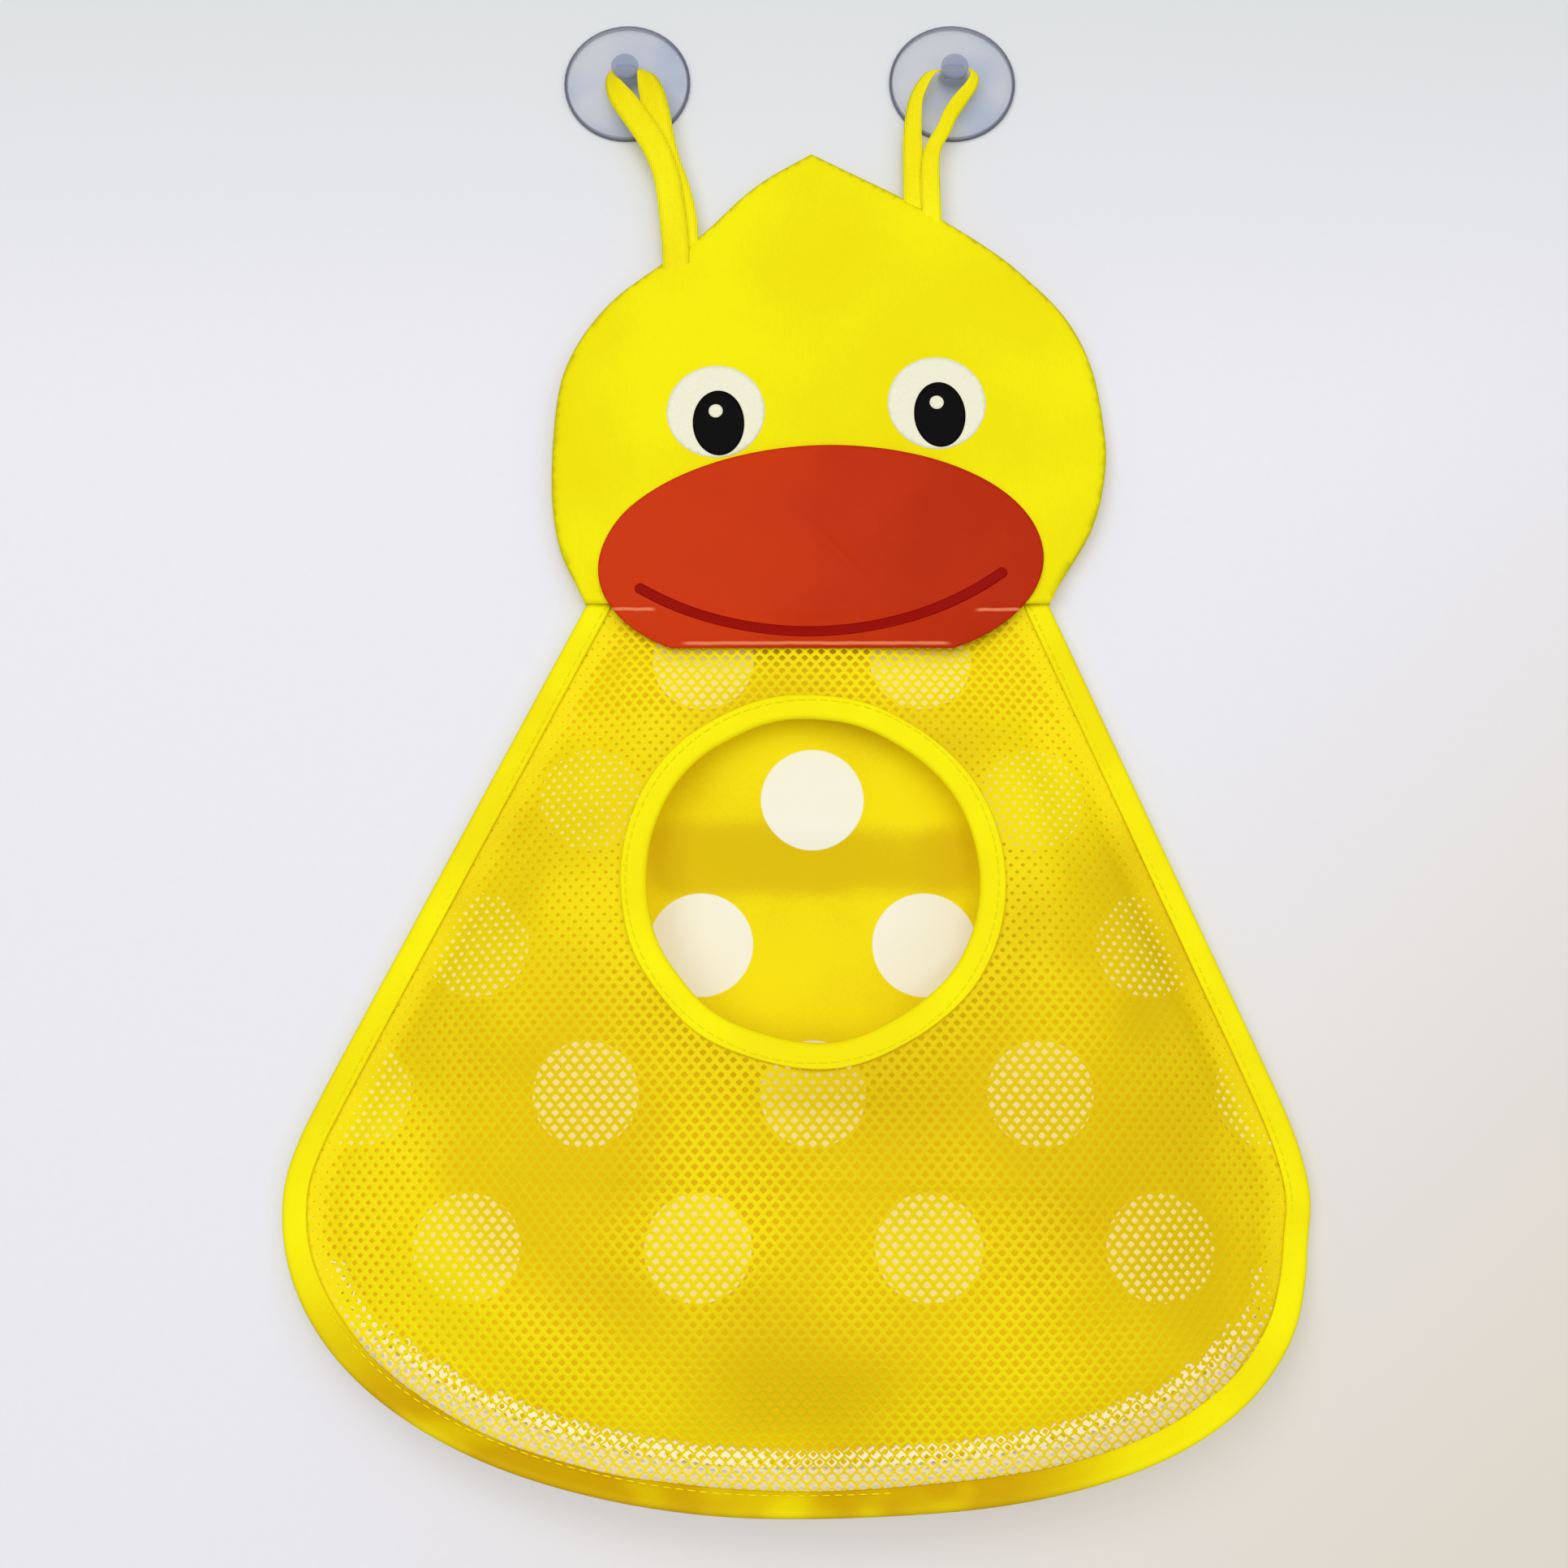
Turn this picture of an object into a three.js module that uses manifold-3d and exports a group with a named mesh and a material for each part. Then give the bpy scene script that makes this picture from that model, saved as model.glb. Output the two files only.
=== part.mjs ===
// Hanging bath toy organizer: a duck-shaped bag with a net front, held by two suction cups.
// Millimetres, +Z up. The origin lies on the wall, midway between the two cups, and -Y faces the room.
import * as THREE from "three";
import { mergeVertices } from "three/addons/utils/BufferGeometryUtils.js";
import Module from "manifold-3d";

const wasm = await Module();
wasm.setup();

// Running gaps between pieces that touch on the real product
const CLEARANCE = 0.3;
const CUT_OVERRUN = 5;
const WELD_DISTANCE = 1e-4;

// Suction cups
const CUP_SPACING = 112.5;
const CUP_DIAMETER = 43.6;
const CUP_RIM_WIDTH = 2.4;
const CUP_RIM_THICKNESS = 1.1;
const CUP_HOLLOW_DEPTH = 2.8;
const CUP_CROWN_DEPTH = 4.8;
const HUB_DIAMETER = 8.4;
const HUB_CAP_DIAMETER = 9.4;
const HUB_CAP_HEIGHT = 2.2;
const HUB_TIP_DEPTH = 12;
const HUB_HOLE_DIAMETER = 4.6;
const HUB_HOLE_DEPTH = 7.6;
const CUP_FACETS = 48;
const CUP_CURVE_STEPS = 10;
const CAP_CURVE_STEPS = 6;
const HOLE_FACETS = 20;

// Cloths, tapes and the plane that they hang in, as distances in front of the wall
const CLOTH_THICKNESS = 0.6;
const TAPE_THICKNESS = 0.5;
const VINYL_THICKNESS = 0.5;
const PRINT_THICKNESS = 0.3;
const BACK_CLOTH_DEPTH = 3.1;
const LAYER_STEP = CLOTH_THICKNESS + CLEARANCE;

// The body's middle line leans: it passes the level of the bottom edge at one place across and
// moves sideways with height
const BODY_AXIS_X = -1.7;
const BODY_LEAN = 0.0386;

// Head: drops are measured down from the level of the cups
const HEAD_X = 12.9;
const HEAD_TOP_DROP = 29.3;
const HEAD_HALF_WIDTH = 91.2;
const NECK_DROP = 189;
const NECK_HALF_WIDTH = 75;
const HEAD_SEAM_WIDTH = 2;
const HEAD_CLOTH_DEPTH = 6.2;
const SEAM_OPEN_HEIGHT = 10;

// Body of the bag
const BODY_HALF_WIDTH = 156.5;
const WIDEST_DROP = 378;
const BOTTOM_DROP = 464;
const LEFT_ROUNDNESS = 1.95;
const RIGHT_ROUNDNESS = 2.5;
const FLOOR_START_DROP = 386;
const FLOOR_START_RUN = 12;
const FLOOR_DROP = 454;
const FLOOR_SEAM_DEPTH = 24;
const FLOOR_SEAM_ANGLE = THREE.MathUtils.degToRad(42);
const BELLY_DEPTH = 13;
const BELLY_LOWNESS = 1.5;
const NET_TUCK = 7.5;
const EDGE_TAPE_WIDTH = 8.8;
const FLOOR_INSET = 9.8;
const FLOOR_HEM = 6;

// Round opening for the toys
const OPENING_X = 6.6;
const OPENING_BELOW_NECK = 90.5;
const OPENING_RADIUS = 58.7;
const RING_TAPE_WIDTH = 7.9;
const RING_TOP_DEPTH = 12;
const RING_FORWARD = 15;

const OPENING_DROP = NECK_DROP + OPENING_BELOW_NECK;

// Face: eyes and beak share a slightly turned frame of their own, at a height above the neck
const FACE_TILT = THREE.MathUtils.degToRad(2.3);
const FACE_X = 11.4;
const FACE_RISE = 34;
const EYE_RADIUS = 16.2;
const EYE_SPACING = 73;
const EYES_SHIFT = 1.9;
const EYE_HEIGHT = 33.3;
const PUPIL_HALF_WIDTH = 8.5;
const PUPIL_HALF_HEIGHT = 11.4;
const PUPIL_SHIFT = 0.8;
const PUPIL_DROP = 4.1;
const GLINT_RADIUS = 2.35;
const GLINT_SHIFT = -0.8;
const GLINT_RISE = 4.2;
const BEAK_SHIFT = -2.2;
const BEAK_LEVEL = -20.4;
const BEAK_HALF_WIDTH = 72.2;
const BEAK_UPPER_HEIGHT = 40;
const BEAK_LOWER_HEIGHT = 38;
const CREASE_BELOW_NECK = 2.4;
const CREASE_GAP = 0.8;
const FLAP_HEIGHT = 13.6;
const FLAP_FORWARD = 2.6;
const MOUTH_HALF_SPAN = 60.1;
const MOUTH_SAG = 18.7;
const MOUTH_LEVEL = -25.6;
const MOUTH_STROKE = 3.1;

const FACE_DROP = NECK_DROP - FACE_RISE;
const CREASE_DROP = NECK_DROP + CREASE_BELOW_NECK;
const BEAK_HEM_DROP = CREASE_DROP + FLAP_HEIGHT;

// Ribbon loops
const RIBBON_WIDTH = 8;
const RIBBON_THICKNESS = 0.8;
const RIBBON_TAIL = 11;
const GATHERED_WIDTH = 3.2;
const GATHERED_THICKNESS = 1.4;
const RIBBON_STEP = RIBBON_THICKNESS + CLEARANCE;

// Side of the body from the neck to its widest place: shares of the half width and of that drop
const BODY_SIDE_SHARES = [
  [0.48, 0],
  [0.77, 0.52],
  [0.955, 0.855],
  [0.99, 0.945],
];

// Outlines of the head's two sides, from the tuft to the neck:
// shares of the head's half width, and of the drop from the tuft to the neck
const TUFT_SHARES = [-0.06, 0];
const HEAD_RIGHT_SHARES = [
  [0.27, 0.101],
  [0.569, 0.212],
  [0.743, 0.297],
  [0.873, 0.381],
  [0.964, 0.497],
  [1, 0.66],
  [0.981, 0.756],
  [0.929, 0.852],
  [0.785, 0.985],
];
const HEAD_LEFT_SHARES = [
  [-0.269, 0.075],
  [-0.474, 0.19],
  [-0.625, 0.259],
  [-0.798, 0.339],
  [-0.93, 0.446],
  [-0.987, 0.562],
  [-0.998, 0.76],
  [-0.958, 0.892],
  [-0.872, 0.985],
];

// Ribbon loops, each with two strands that meet in its hub's hole. An entry is where a strand passes
// under the head's edge, in the head outline's shares. A way leads from there to the hub, in shares
// of the cup's radius from the hub's middle. Layer 1 lies in front of layer 0.
const LOOPS = [
  {
    name: "left",
    side: -1,
    strands: [
      { layer: 1, side: -1, entry: [-0.553, 0.214], way: [[0.48, -1.42], [0.15, -0.76], [-0.3, -0.33]] },
      { layer: 0, side: 1, entry: [-0.531, 0.208], way: [[0.53, -1.42], [0.44, -0.78], [0.38, -0.32]] },
    ],
  },
  {
    name: "right",
    side: 1,
    strands: [
      { layer: 0, side: -1, entry: [0.319, 0.117], way: [[-0.62, -1.33], [-0.53, -0.69], [-0.39, -0.28]] },
      { layer: 1, side: 1, entry: [0.39, 0.142], way: [[-0.24, -1.47], [0.03, -0.78], [0.34, -0.33]] },
    ],
  },
];

// Smoothness of the curved pieces
const BODY_EDGE_STEPS = 32;
const CORNER_STEPS = 6;
const HEAD_EDGE_STEPS = 22;
const NECK_STEPS = 8;
const NET_ROWS = 6;
const RING_STEPS = 56;
const EYE_STEPS = 36;
const GLINT_STEPS = 16;
const BEAK_STEPS = 44;
const MOUTH_STEPS = 20;
const STRAND_STEPS = 26;

// A geometry as a solid that can be cut and joined, and back
function solidFrom(geometry) {
  const bare = geometry.clone();
  bare.deleteAttribute("normal");
  bare.deleteAttribute("uv");
  const merged = mergeVertices(bare, WELD_DISTANCE);
  return new wasm.Manifold(
    new wasm.Mesh({
      numProp: 3,
      vertProperties: new Float32Array(merged.attributes.position.array),
      triVerts: new Uint32Array(merged.index.array),
    }),
  );
}

function geometryFrom(solid) {
  const mesh = solid.getMesh();
  const geometry = new THREE.BufferGeometry();
  const places = new THREE.BufferAttribute(mesh.vertProperties, mesh.numProp);
  geometry.setAttribute("position", places);
  geometry.setIndex(new THREE.BufferAttribute(mesh.triVerts, 1));
  return geometry;
}

function smooth(value, from, to) {
  return THREE.MathUtils.smoothstep(value, from, to);
}

// A flat outline, drawn across and up, made into a plate that stands in front of the wall
function standingPlate(outline, backDepth, thickness) {
  const shape = new THREE.Shape(outline);
  const plate = new THREE.ExtrudeGeometry(shape, { depth: thickness, bevelEnabled: false });
  plate.translate(0, 0, backDepth);
  plate.rotateX(Math.PI / 2);
  return plate;
}

// A closed surface from a list of triangles, turned to face outwards
function closedGeometry(points, triangles) {
  let volume = 0;
  for (const [a, b, c] of triangles) {
    volume += points[a].dot(new THREE.Vector3().crossVectors(points[b], points[c]));
  }
  const facing = volume < 0 ? triangles.map(([a, b, c]) => [a, c, b]) : triangles;
  const geometry = new THREE.BufferGeometry().setFromPoints(points);
  geometry.setIndex(facing.flat());
  return geometry;
}

// Sections joined one after another; a closed loft joins its last section to its first
function loft(sections, sectionOutline, closed) {
  const count = sectionOutline.length;
  const points = sections.flat();
  const triangles = [];
  const spans = closed ? sections.length : sections.length - 1;
  for (let s = 0; s < spans; s++) {
    const here = s * count;
    const next = ((s + 1) % sections.length) * count;
    for (let i = 0; i < count; i++) {
      const j = (i + 1) % count;
      triangles.push([here + i, here + j, next + j], [here + i, next + j, next + i]);
    }
  }
  if (!closed) {
    const last = (sections.length - 1) * count;
    const clockwise = THREE.ShapeUtils.isClockWise(sectionOutline);
    for (const [a, b, c] of THREE.ShapeUtils.triangulateShape(sectionOutline, [])) {
      const [second, third] = clockwise ? [c, b] : [b, c];
      triangles.push([a, third, second], [last + a, last + second, last + third]);
    }
  }
  return closedGeometry(points, triangles);
}

// Directions square to a path in the wall's plane, on its left as it is walked
function sidewaysOf(path) {
  return path.map((_, i) => {
    const before = path[Math.max(i - 1, 0)];
    const after = path[Math.min(i + 1, path.length - 1)];
    const along = after.clone().sub(before).normalize();
    return new THREE.Vector2(-along.y, along.x);
  });
}

function movedSideways(path, distance) {
  const sideways = sidewaysOf(path);
  return path.map((point, i) => point.clone().addScaledVector(sideways[i], distance));
}

function at(across, up, depth) {
  return new THREE.Vector3(across, -depth, up);
}

// The part of an outline above or below a level
function cutAtLevel(outline, level, keepAbove) {
  const keeps = (point) => (keepAbove ? point.y >= level : point.y <= level);
  const kept = [];
  outline.forEach((point, i) => {
    const next = outline[(i + 1) % outline.length];
    if (keeps(point)) kept.push(point);
    if (keeps(point) !== keeps(next)) {
      kept.push(point.clone().lerp(next, (level - point.y) / (next.y - point.y)));
    }
  });
  return kept;
}

function ellipse(centre, halfWidth, upperHeight, lowerHeight, steps) {
  return Array.from({ length: steps }, (_, i) => {
    const turn = (2 * Math.PI * i) / steps;
    const height = Math.sin(turn) >= 0 ? upperHeight : lowerHeight;
    return new THREE.Vector2(
      centre.x + halfWidth * Math.cos(turn),
      centre.y + height * Math.sin(turn),
    );
  });
}

// From the face's own frame to the wall's
function faceToWall(point) {
  const turned = point.clone().rotateAround(new THREE.Vector2(), FACE_TILT);
  return turned.add(new THREE.Vector2(FACE_X, -FACE_DROP));
}

function bodyAxis(up) {
  return BODY_AXIS_X + BODY_LEAN * (BOTTOM_DROP + up);
}

// One side of the body, from the neck to the middle of the bottom edge
function bodySide(side, roundness) {
  const upper = BODY_SIDE_SHARES.map(([across, down]) => [
    across * BODY_HALF_WIDTH,
    THREE.MathUtils.lerp(NECK_DROP, WIDEST_DROP, down),
  ]);
  const lower = Array.from({ length: CORNER_STEPS + 1 }, (_, i) => {
    const turn = (Math.PI * i) / (2 * CORNER_STEPS);
    return [
      BODY_HALF_WIDTH * Math.cos(turn) ** (2 / roundness),
      WIDEST_DROP + (BOTTOM_DROP - WIDEST_DROP) * Math.sin(turn) ** (2 / roundness),
    ];
  });
  return [...upper, ...lower].map(
    ([across, drop]) => new THREE.Vector2(bodyAxis(-drop) + side * across, -drop),
  );
}

// The body's edge from the left end of the neck, round the bottom, to the right end of the neck
function bodyEdge() {
  const right = bodySide(1, RIGHT_ROUNDNESS).reverse();
  const whole = new THREE.SplineCurve([...bodySide(-1, LEFT_ROUNDNESS), ...right.slice(1)]);
  return whole.getSpacedPoints(2 * BODY_EDGE_STEPS);
}

// A place on the head from its shares of the half width and of the drop from the tuft to the neck
function headPlace([across, down]) {
  const drop = THREE.MathUtils.lerp(HEAD_TOP_DROP, NECK_DROP, down);
  return new THREE.Vector2(HEAD_X + across * HEAD_HALF_WIDTH, -drop);
}

// The head's edge from the right end of the neck, over the tuft, to the left end of the neck
function headEdge() {
  const half = (side, shares) => {
    const neck = new THREE.Vector2(bodyAxis(-NECK_DROP) + side * NECK_HALF_WIDTH, -NECK_DROP);
    const curve = new THREE.SplineCurve([TUFT_SHARES, ...shares].map(headPlace).concat(neck));
    return curve.getSpacedPoints(HEAD_EDGE_STEPS);
  };
  return [...half(1, HEAD_RIGHT_SHARES).reverse(), ...half(-1, HEAD_LEFT_SHARES).slice(1)];
}

// How far the edge seam has come forward: not at the sides, wholly along the floor
function seamRise(up) {
  return smooth(-up, FLOOR_START_DROP, FLOOR_DROP);
}

const SIDE_SEAM_DEPTH = BACK_CLOTH_DEPTH + CLOTH_THICKNESS + CLEARANCE / 2;
const INSIDE_FOLD = TAPE_THICKNESS + CLEARANCE;

// The edge seam as stations along the body's edge
function edgeSeam() {
  const edge = bodyEdge();
  const sideways = sidewaysOf(edge);
  return edge.map((point, i) => {
    const rise = seamRise(point.y);
    const depth = THREE.MathUtils.lerp(SIDE_SEAM_DEPTH, FLOOR_SEAM_DEPTH, rise);
    return { point, sideways: sideways[i], depth, lean: FLOOR_SEAM_ANGLE * rise };
  });
}

// A place in the seam: so far in from the edge, and so far in front of the middle between layers
function inSeam(station, inward, forward) {
  const cos = Math.cos(station.lean);
  const sin = Math.sin(station.lean);
  const across = inward * cos + forward * sin;
  const place = station.point.clone().addScaledVector(station.sideways, across);
  return at(place.x, place.y, station.depth + forward * cos - inward * sin);
}

function ringDepth(up) {
  const top = OPENING_RADIUS - OPENING_DROP;
  return RING_TOP_DEPTH + (RING_FORWARD * (top - up)) / (2 * OPENING_RADIUS);
}

function openingCircle(radius, turns) {
  return turns.map(
    (turn) =>
      new THREE.Vector2(
        OPENING_X + radius * Math.cos(turn),
        radius * Math.sin(turn) - OPENING_DROP,
      ),
  );
}

// A tape folded over a cloth edge: a U whose slot opens away from the fold
function foldedTape(width) {
  const slot = 2 * CLOTH_THICKNESS + 3 * CLEARANCE;
  const half = slot / 2 + TAPE_THICKNESS;
  return [
    [0, -half],
    [width, -half],
    [width, TAPE_THICKNESS - half],
    [TAPE_THICKNESS, TAPE_THICKNESS - half],
    [TAPE_THICKNESS, half - TAPE_THICKNESS],
    [width, half - TAPE_THICKNESS],
    [width, half],
    [0, half],
  ].map(([inward, forward]) => new THREE.Vector2(inward, forward));
}

function edgeBinding() {
  const gapBelowHead = 2 * CLEARANCE;
  const section = foldedTape(EDGE_TAPE_WIDTH);
  const sections = edgeSeam().map((station) =>
    section.map((corner) => inSeam(station, corner.x, corner.y)),
  );
  const tape = solidFrom(loft(sections, section, false));
  const side = 2 * BODY_HALF_WIDTH + CUT_OVERRUN;
  const above = new THREE.BoxGeometry(side, side, side);
  above.translate(bodyAxis(-NECK_DROP), 0, side / 2 - NECK_DROP - gapBelowHead);
  return geometryFrom(tape.subtract(solidFrom(above)));
}

function openingRing() {
  const turns = Array.from({ length: RING_STEPS }, (_, i) => (2 * Math.PI * i) / RING_STEPS);
  const section = foldedTape(RING_TAPE_WIDTH);
  const inner = OPENING_RADIUS - RING_TAPE_WIDTH;
  const sections = turns.map((turn) =>
    section.map((corner) => {
      const [place] = openingCircle(inner + corner.x, [turn]);
      return at(place.x, place.y, ringDepth(place.y) + corner.y);
    }),
  );
  return loft(sections, section, true);
}

// The net's outer edge as a closed loop, and the loop where it has left the edge tape
function netEdges() {
  const lift = LAYER_STEP / 2;
  const seam = edgeSeam();
  const outer = seam.map((station) => inSeam(station, INSIDE_FOLD, lift));
  const clear = seam.map((station) => inSeam(station, EDGE_TAPE_WIDTH + LAYER_STEP, lift));
  clear[0].z = -NECK_DROP - NET_TUCK;
  clear.at(-1).z = -NECK_DROP - NET_TUCK;
  const middle = bodyAxis(-NECK_DROP);
  for (let i = 0; i <= NECK_STEPS; i++) {
    const across = THREE.MathUtils.lerp(1, -1, i / NECK_STEPS) * (NECK_HALF_WIDTH - INSIDE_FOLD);
    const below = across * (1 - (2 * NET_TUCK) / NECK_HALF_WIDTH);
    outer.push(at(middle + across, NET_TUCK - NECK_DROP, SIDE_SEAM_DEPTH + lift));
    clear.push(at(middle + below, -NECK_DROP - NET_TUCK, SIDE_SEAM_DEPTH + lift));
  }
  return { outer, clear };
}

// Front of the pouch, as rows of points from the outer edge to the round opening
function netRows() {
  const { outer, clear } = netEdges();
  const holeRadius = OPENING_RADIUS - RING_TAPE_WIDTH + INSIDE_FOLD;
  const turns = clear.map((point) => Math.atan2(point.z + OPENING_DROP, point.x - OPENING_X));
  const ringOuter = openingCircle(OPENING_RADIUS + CLEARANCE, turns);
  const ringInner = openingCircle(holeRadius, turns);
  const rows = [outer];
  for (let row = 0; row <= NET_ROWS; row++) {
    const share = row / NET_ROWS;
    rows.push(
      clear.map((point, i) => {
        const ring = at(ringOuter[i].x, ringOuter[i].y, ringDepth(ringOuter[i].y));
        const place = point.clone().lerp(ring, share);
        const downward = (1 - Math.sin(turns[i])) / 2;
        place.y = THREE.MathUtils.lerp(point.y, ring.y, smooth(share, 0, 1));
        place.y -= BELLY_DEPTH * downward ** BELLY_LOWNESS * Math.sin(Math.PI * share);
        return place;
      }),
    );
  }
  rows.push(ringInner.map((point) => at(point.x, point.y, ringDepth(point.y))));
  return rows;
}

function frontNet() {
  const rows = netRows();
  const count = rows[0].length;
  const half = new THREE.Vector3(0, CLOTH_THICKNESS / 2, 0);
  const front = rows.flat().map((point) => point.clone().sub(half));
  const back = rows.flat().map((point) => point.clone().add(half));
  const points = [...front, ...back];
  const behind = front.length;
  const triangles = [];
  for (let row = 0; row < rows.length - 1; row++) {
    for (let i = 0; i < count; i++) {
      const j = (i + 1) % count;
      const a = row * count + i;
      const b = row * count + j;
      const c = b + count;
      const d = a + count;
      triangles.push([a, b, c], [a, c, d]);
      triangles.push([behind + a, behind + c, behind + b], [behind + a, behind + d, behind + c]);
    }
  }
  const hole = (rows.length - 1) * count;
  for (let i = 0; i < count; i++) {
    const j = (i + 1) % count;
    triangles.push([j, i, behind + i], [j, behind + i, behind + j]);
    triangles.push([hole + i, hole + j, behind + hole + j]);
    triangles.push([hole + i, behind + hole + j, behind + hole + i]);
  }
  return closedGeometry(points, triangles);
}

// Back cloth: the whole duck down to where the net floor starts
function backPanel() {
  const body = edgeSeam().map(({ point, sideways }) => {
    const left = FLOOR_START_DROP - FLOOR_START_RUN;
    const leaving = smooth(-point.y, left - FLOOR_START_RUN, left);
    const inset = INSIDE_FOLD + (FLOOR_INSET - INSIDE_FOLD) * leaving;
    return point.clone().addScaledVector(sideways, inset);
  });
  return standingPlate([...headEdge(), ...body], BACK_CLOTH_DEPTH, CLOTH_THICKNESS);
}

// A polyline given a thickness, as a closed outline whose corners are mitred
function thickened(line, thickness) {
  const offsets = line.map((point, i) => {
    const into = point.clone().sub(line[Math.max(i - 1, 0)]);
    const outOf = line[Math.min(i + 1, line.length - 1)].clone().sub(point);
    const before = (i === 0 ? outOf : into).normalize();
    const after = (i === line.length - 1 ? into : outOf).normalize();
    const along = before.clone().add(after).normalize();
    const reach = thickness / 2 / along.dot(before);
    return new THREE.Vector2(-along.y, along.x).multiplyScalar(reach);
  });
  const left = line.map((point, i) => point.clone().add(offsets[i]));
  const right = line.map((point, i) => point.clone().sub(offsets[i]));
  return [...left, ...right.reverse()];
}

// Net floor at one station: hemmed to the back cloth, forward along the bottom, then in the tape
function floorSection(station) {
  const hemDepth = BACK_CLOTH_DEPTH + CLOTH_THICKNESS / 2 + LAYER_STEP;
  const inTape = (inward) => {
    const place = inSeam(station, inward, -LAYER_STEP / 2);
    const across = new THREE.Vector2(place.x, place.z).distanceTo(station.point);
    return new THREE.Vector2(across, -place.y);
  };
  const line = [
    new THREE.Vector2(FLOOR_INSET + FLOOR_HEM, hemDepth),
    new THREE.Vector2(FLOOR_INSET + CLOTH_THICKNESS, hemDepth),
    inTape(EDGE_TAPE_WIDTH + LAYER_STEP),
    inTape(INSIDE_FOLD),
  ];
  return thickened(line, CLOTH_THICKNESS);
}

function floorNet() {
  const leastRise = 4 * LAYER_STEP;
  const stations = edgeSeam().filter((station) => station.depth > SIDE_SEAM_DEPTH + leastRise);
  const outline = floorSection(stations[0]);
  const sections = stations.map((station) =>
    floorSection(station).map((corner) => {
      const place = station.point.clone().addScaledVector(station.sideways, corner.x);
      return at(place.x, place.y, corner.y);
    }),
  );
  return loft(sections, outline, false);
}

// Head cloth with its edge turned back to the seam, open where the loops come out and at the neck
function headPanel() {
  const outline = headEdge();
  const inside = movedSideways(outline, HEAD_SEAM_WIDTH);
  const seamBack = BACK_CLOTH_DEPTH + LAYER_STEP;
  const seamDeep = HEAD_CLOTH_DEPTH - seamBack + CLOTH_THICKNESS / 2;
  const panel = solidFrom(standingPlate(outline, HEAD_CLOTH_DEPTH, CLOTH_THICKNESS));
  const rim = solidFrom(standingPlate(outline, seamBack, seamDeep));
  const hollowDeep = HEAD_CLOTH_DEPTH - seamBack + CUT_OVERRUN;
  const hollow = solidFrom(standingPlate(inside, seamBack - CUT_OVERRUN, hollowDeep));
  const width = 2 * (HEAD_HALF_WIDTH + CUT_OVERRUN);
  const below = new THREE.BoxGeometry(width, 2 * HEAD_CLOTH_DEPTH, width);
  below.translate(HEAD_X, 0, SEAM_OPEN_HEIGHT - NECK_DROP - width / 2);
  let seam = rim.subtract(hollow).subtract(solidFrom(below));
  for (const loop of LOOPS) {
    for (const strand of loop.strands) {
      const slot = new THREE.BoxGeometry(
        RIBBON_WIDTH + 4 * CLEARANCE,
        2 * HEAD_CLOTH_DEPTH,
        2 * RIBBON_TAIL,
      );
      const entry = headPlace(strand.entry);
      slot.translate(entry.x, 0, entry.y);
      seam = seam.subtract(solidFrom(slot));
    }
  }
  const front = HEAD_CLOTH_DEPTH + CLOTH_THICKNESS;
  const keep = solidFrom(standingPlate(outline, 0, front));
  return geometryFrom(panel.add(seam).intersect(keep));
}

// Middle line of a strand from inside the head to its side of the hub's hole
function strandLine(hub, strand) {
  const backmost = BACK_CLOTH_DEPTH + LAYER_STEP + RIBBON_THICKNESS / 2;
  const headDepth = backmost + strand.layer * RIBBON_STEP;
  const hubDepth = HUB_HOLE_DEPTH + (strand.layer - 0.5) * RIBBON_STEP;
  const radius = CUP_DIAMETER / 2;
  const way = strand.way.map(
    ([across, up]) => new THREE.Vector2(hub + across * radius, up * radius),
  );
  const entry = headPlace(strand.entry);
  const inward = entry.clone().sub(way[0]).normalize();
  const tail = entry.clone().addScaledVector(inward, RIBBON_TAIL);
  const beside = hub + strand.side * (HUB_CAP_DIAMETER / 2 + RIBBON_THICKNESS);
  const points = [
    at(tail.x, tail.y, headDepth),
    at(entry.x, entry.y, headDepth),
    ...way.map((point, i) =>
      at(point.x, point.y, THREE.MathUtils.lerp(headDepth, hubDepth, (i + 1) / way.length)),
    ),
    at(beside, 0, HUB_HOLE_DEPTH),
    at(hub, 0, HUB_HOLE_DEPTH),
  ];
  return new THREE.CatmullRomCurve3(points, false, "centripetal").getSpacedPoints(STRAND_STEPS);
}

function hubX(loop) {
  return (loop.side * CUP_SPACING) / 2;
}

function ribbonLoop(loop) {
  const [first, second] = loop.strands.map((strand) => strandLine(hubX(loop), strand));
  const line = [...first, ...second.reverse().slice(1)];
  const hub = new THREE.Vector3(hubX(loop), -HUB_HOLE_DEPTH, 0);
  const flat = line.map((point) => new THREE.Vector2(point.x, point.z));
  const sideways = sidewaysOf(flat);
  const sections = line.map((point, i) => {
    const spread = smooth(point.distanceTo(hub), HUB_CAP_DIAMETER / 2, 2 * HUB_CAP_DIAMETER);
    const half = THREE.MathUtils.lerp(GATHERED_WIDTH, RIBBON_WIDTH, spread) / 2;
    const deep = THREE.MathUtils.lerp(GATHERED_THICKNESS, RIBBON_THICKNESS, spread) / 2;
    const corners = [[-half, -deep], [half, -deep], [half, deep], [-half, deep]];
    return corners.map(([across, forward]) => {
      const place = flat[i].clone().addScaledVector(sideways[i], across);
      return new THREE.Vector3(place.x, point.y - forward, place.y);
    });
  });
  const box = [[-1, -1], [1, -1], [1, 1], [-1, 1]].map(([x, y]) => new THREE.Vector2(x, y));
  return loft(sections, box, false);
}

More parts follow.
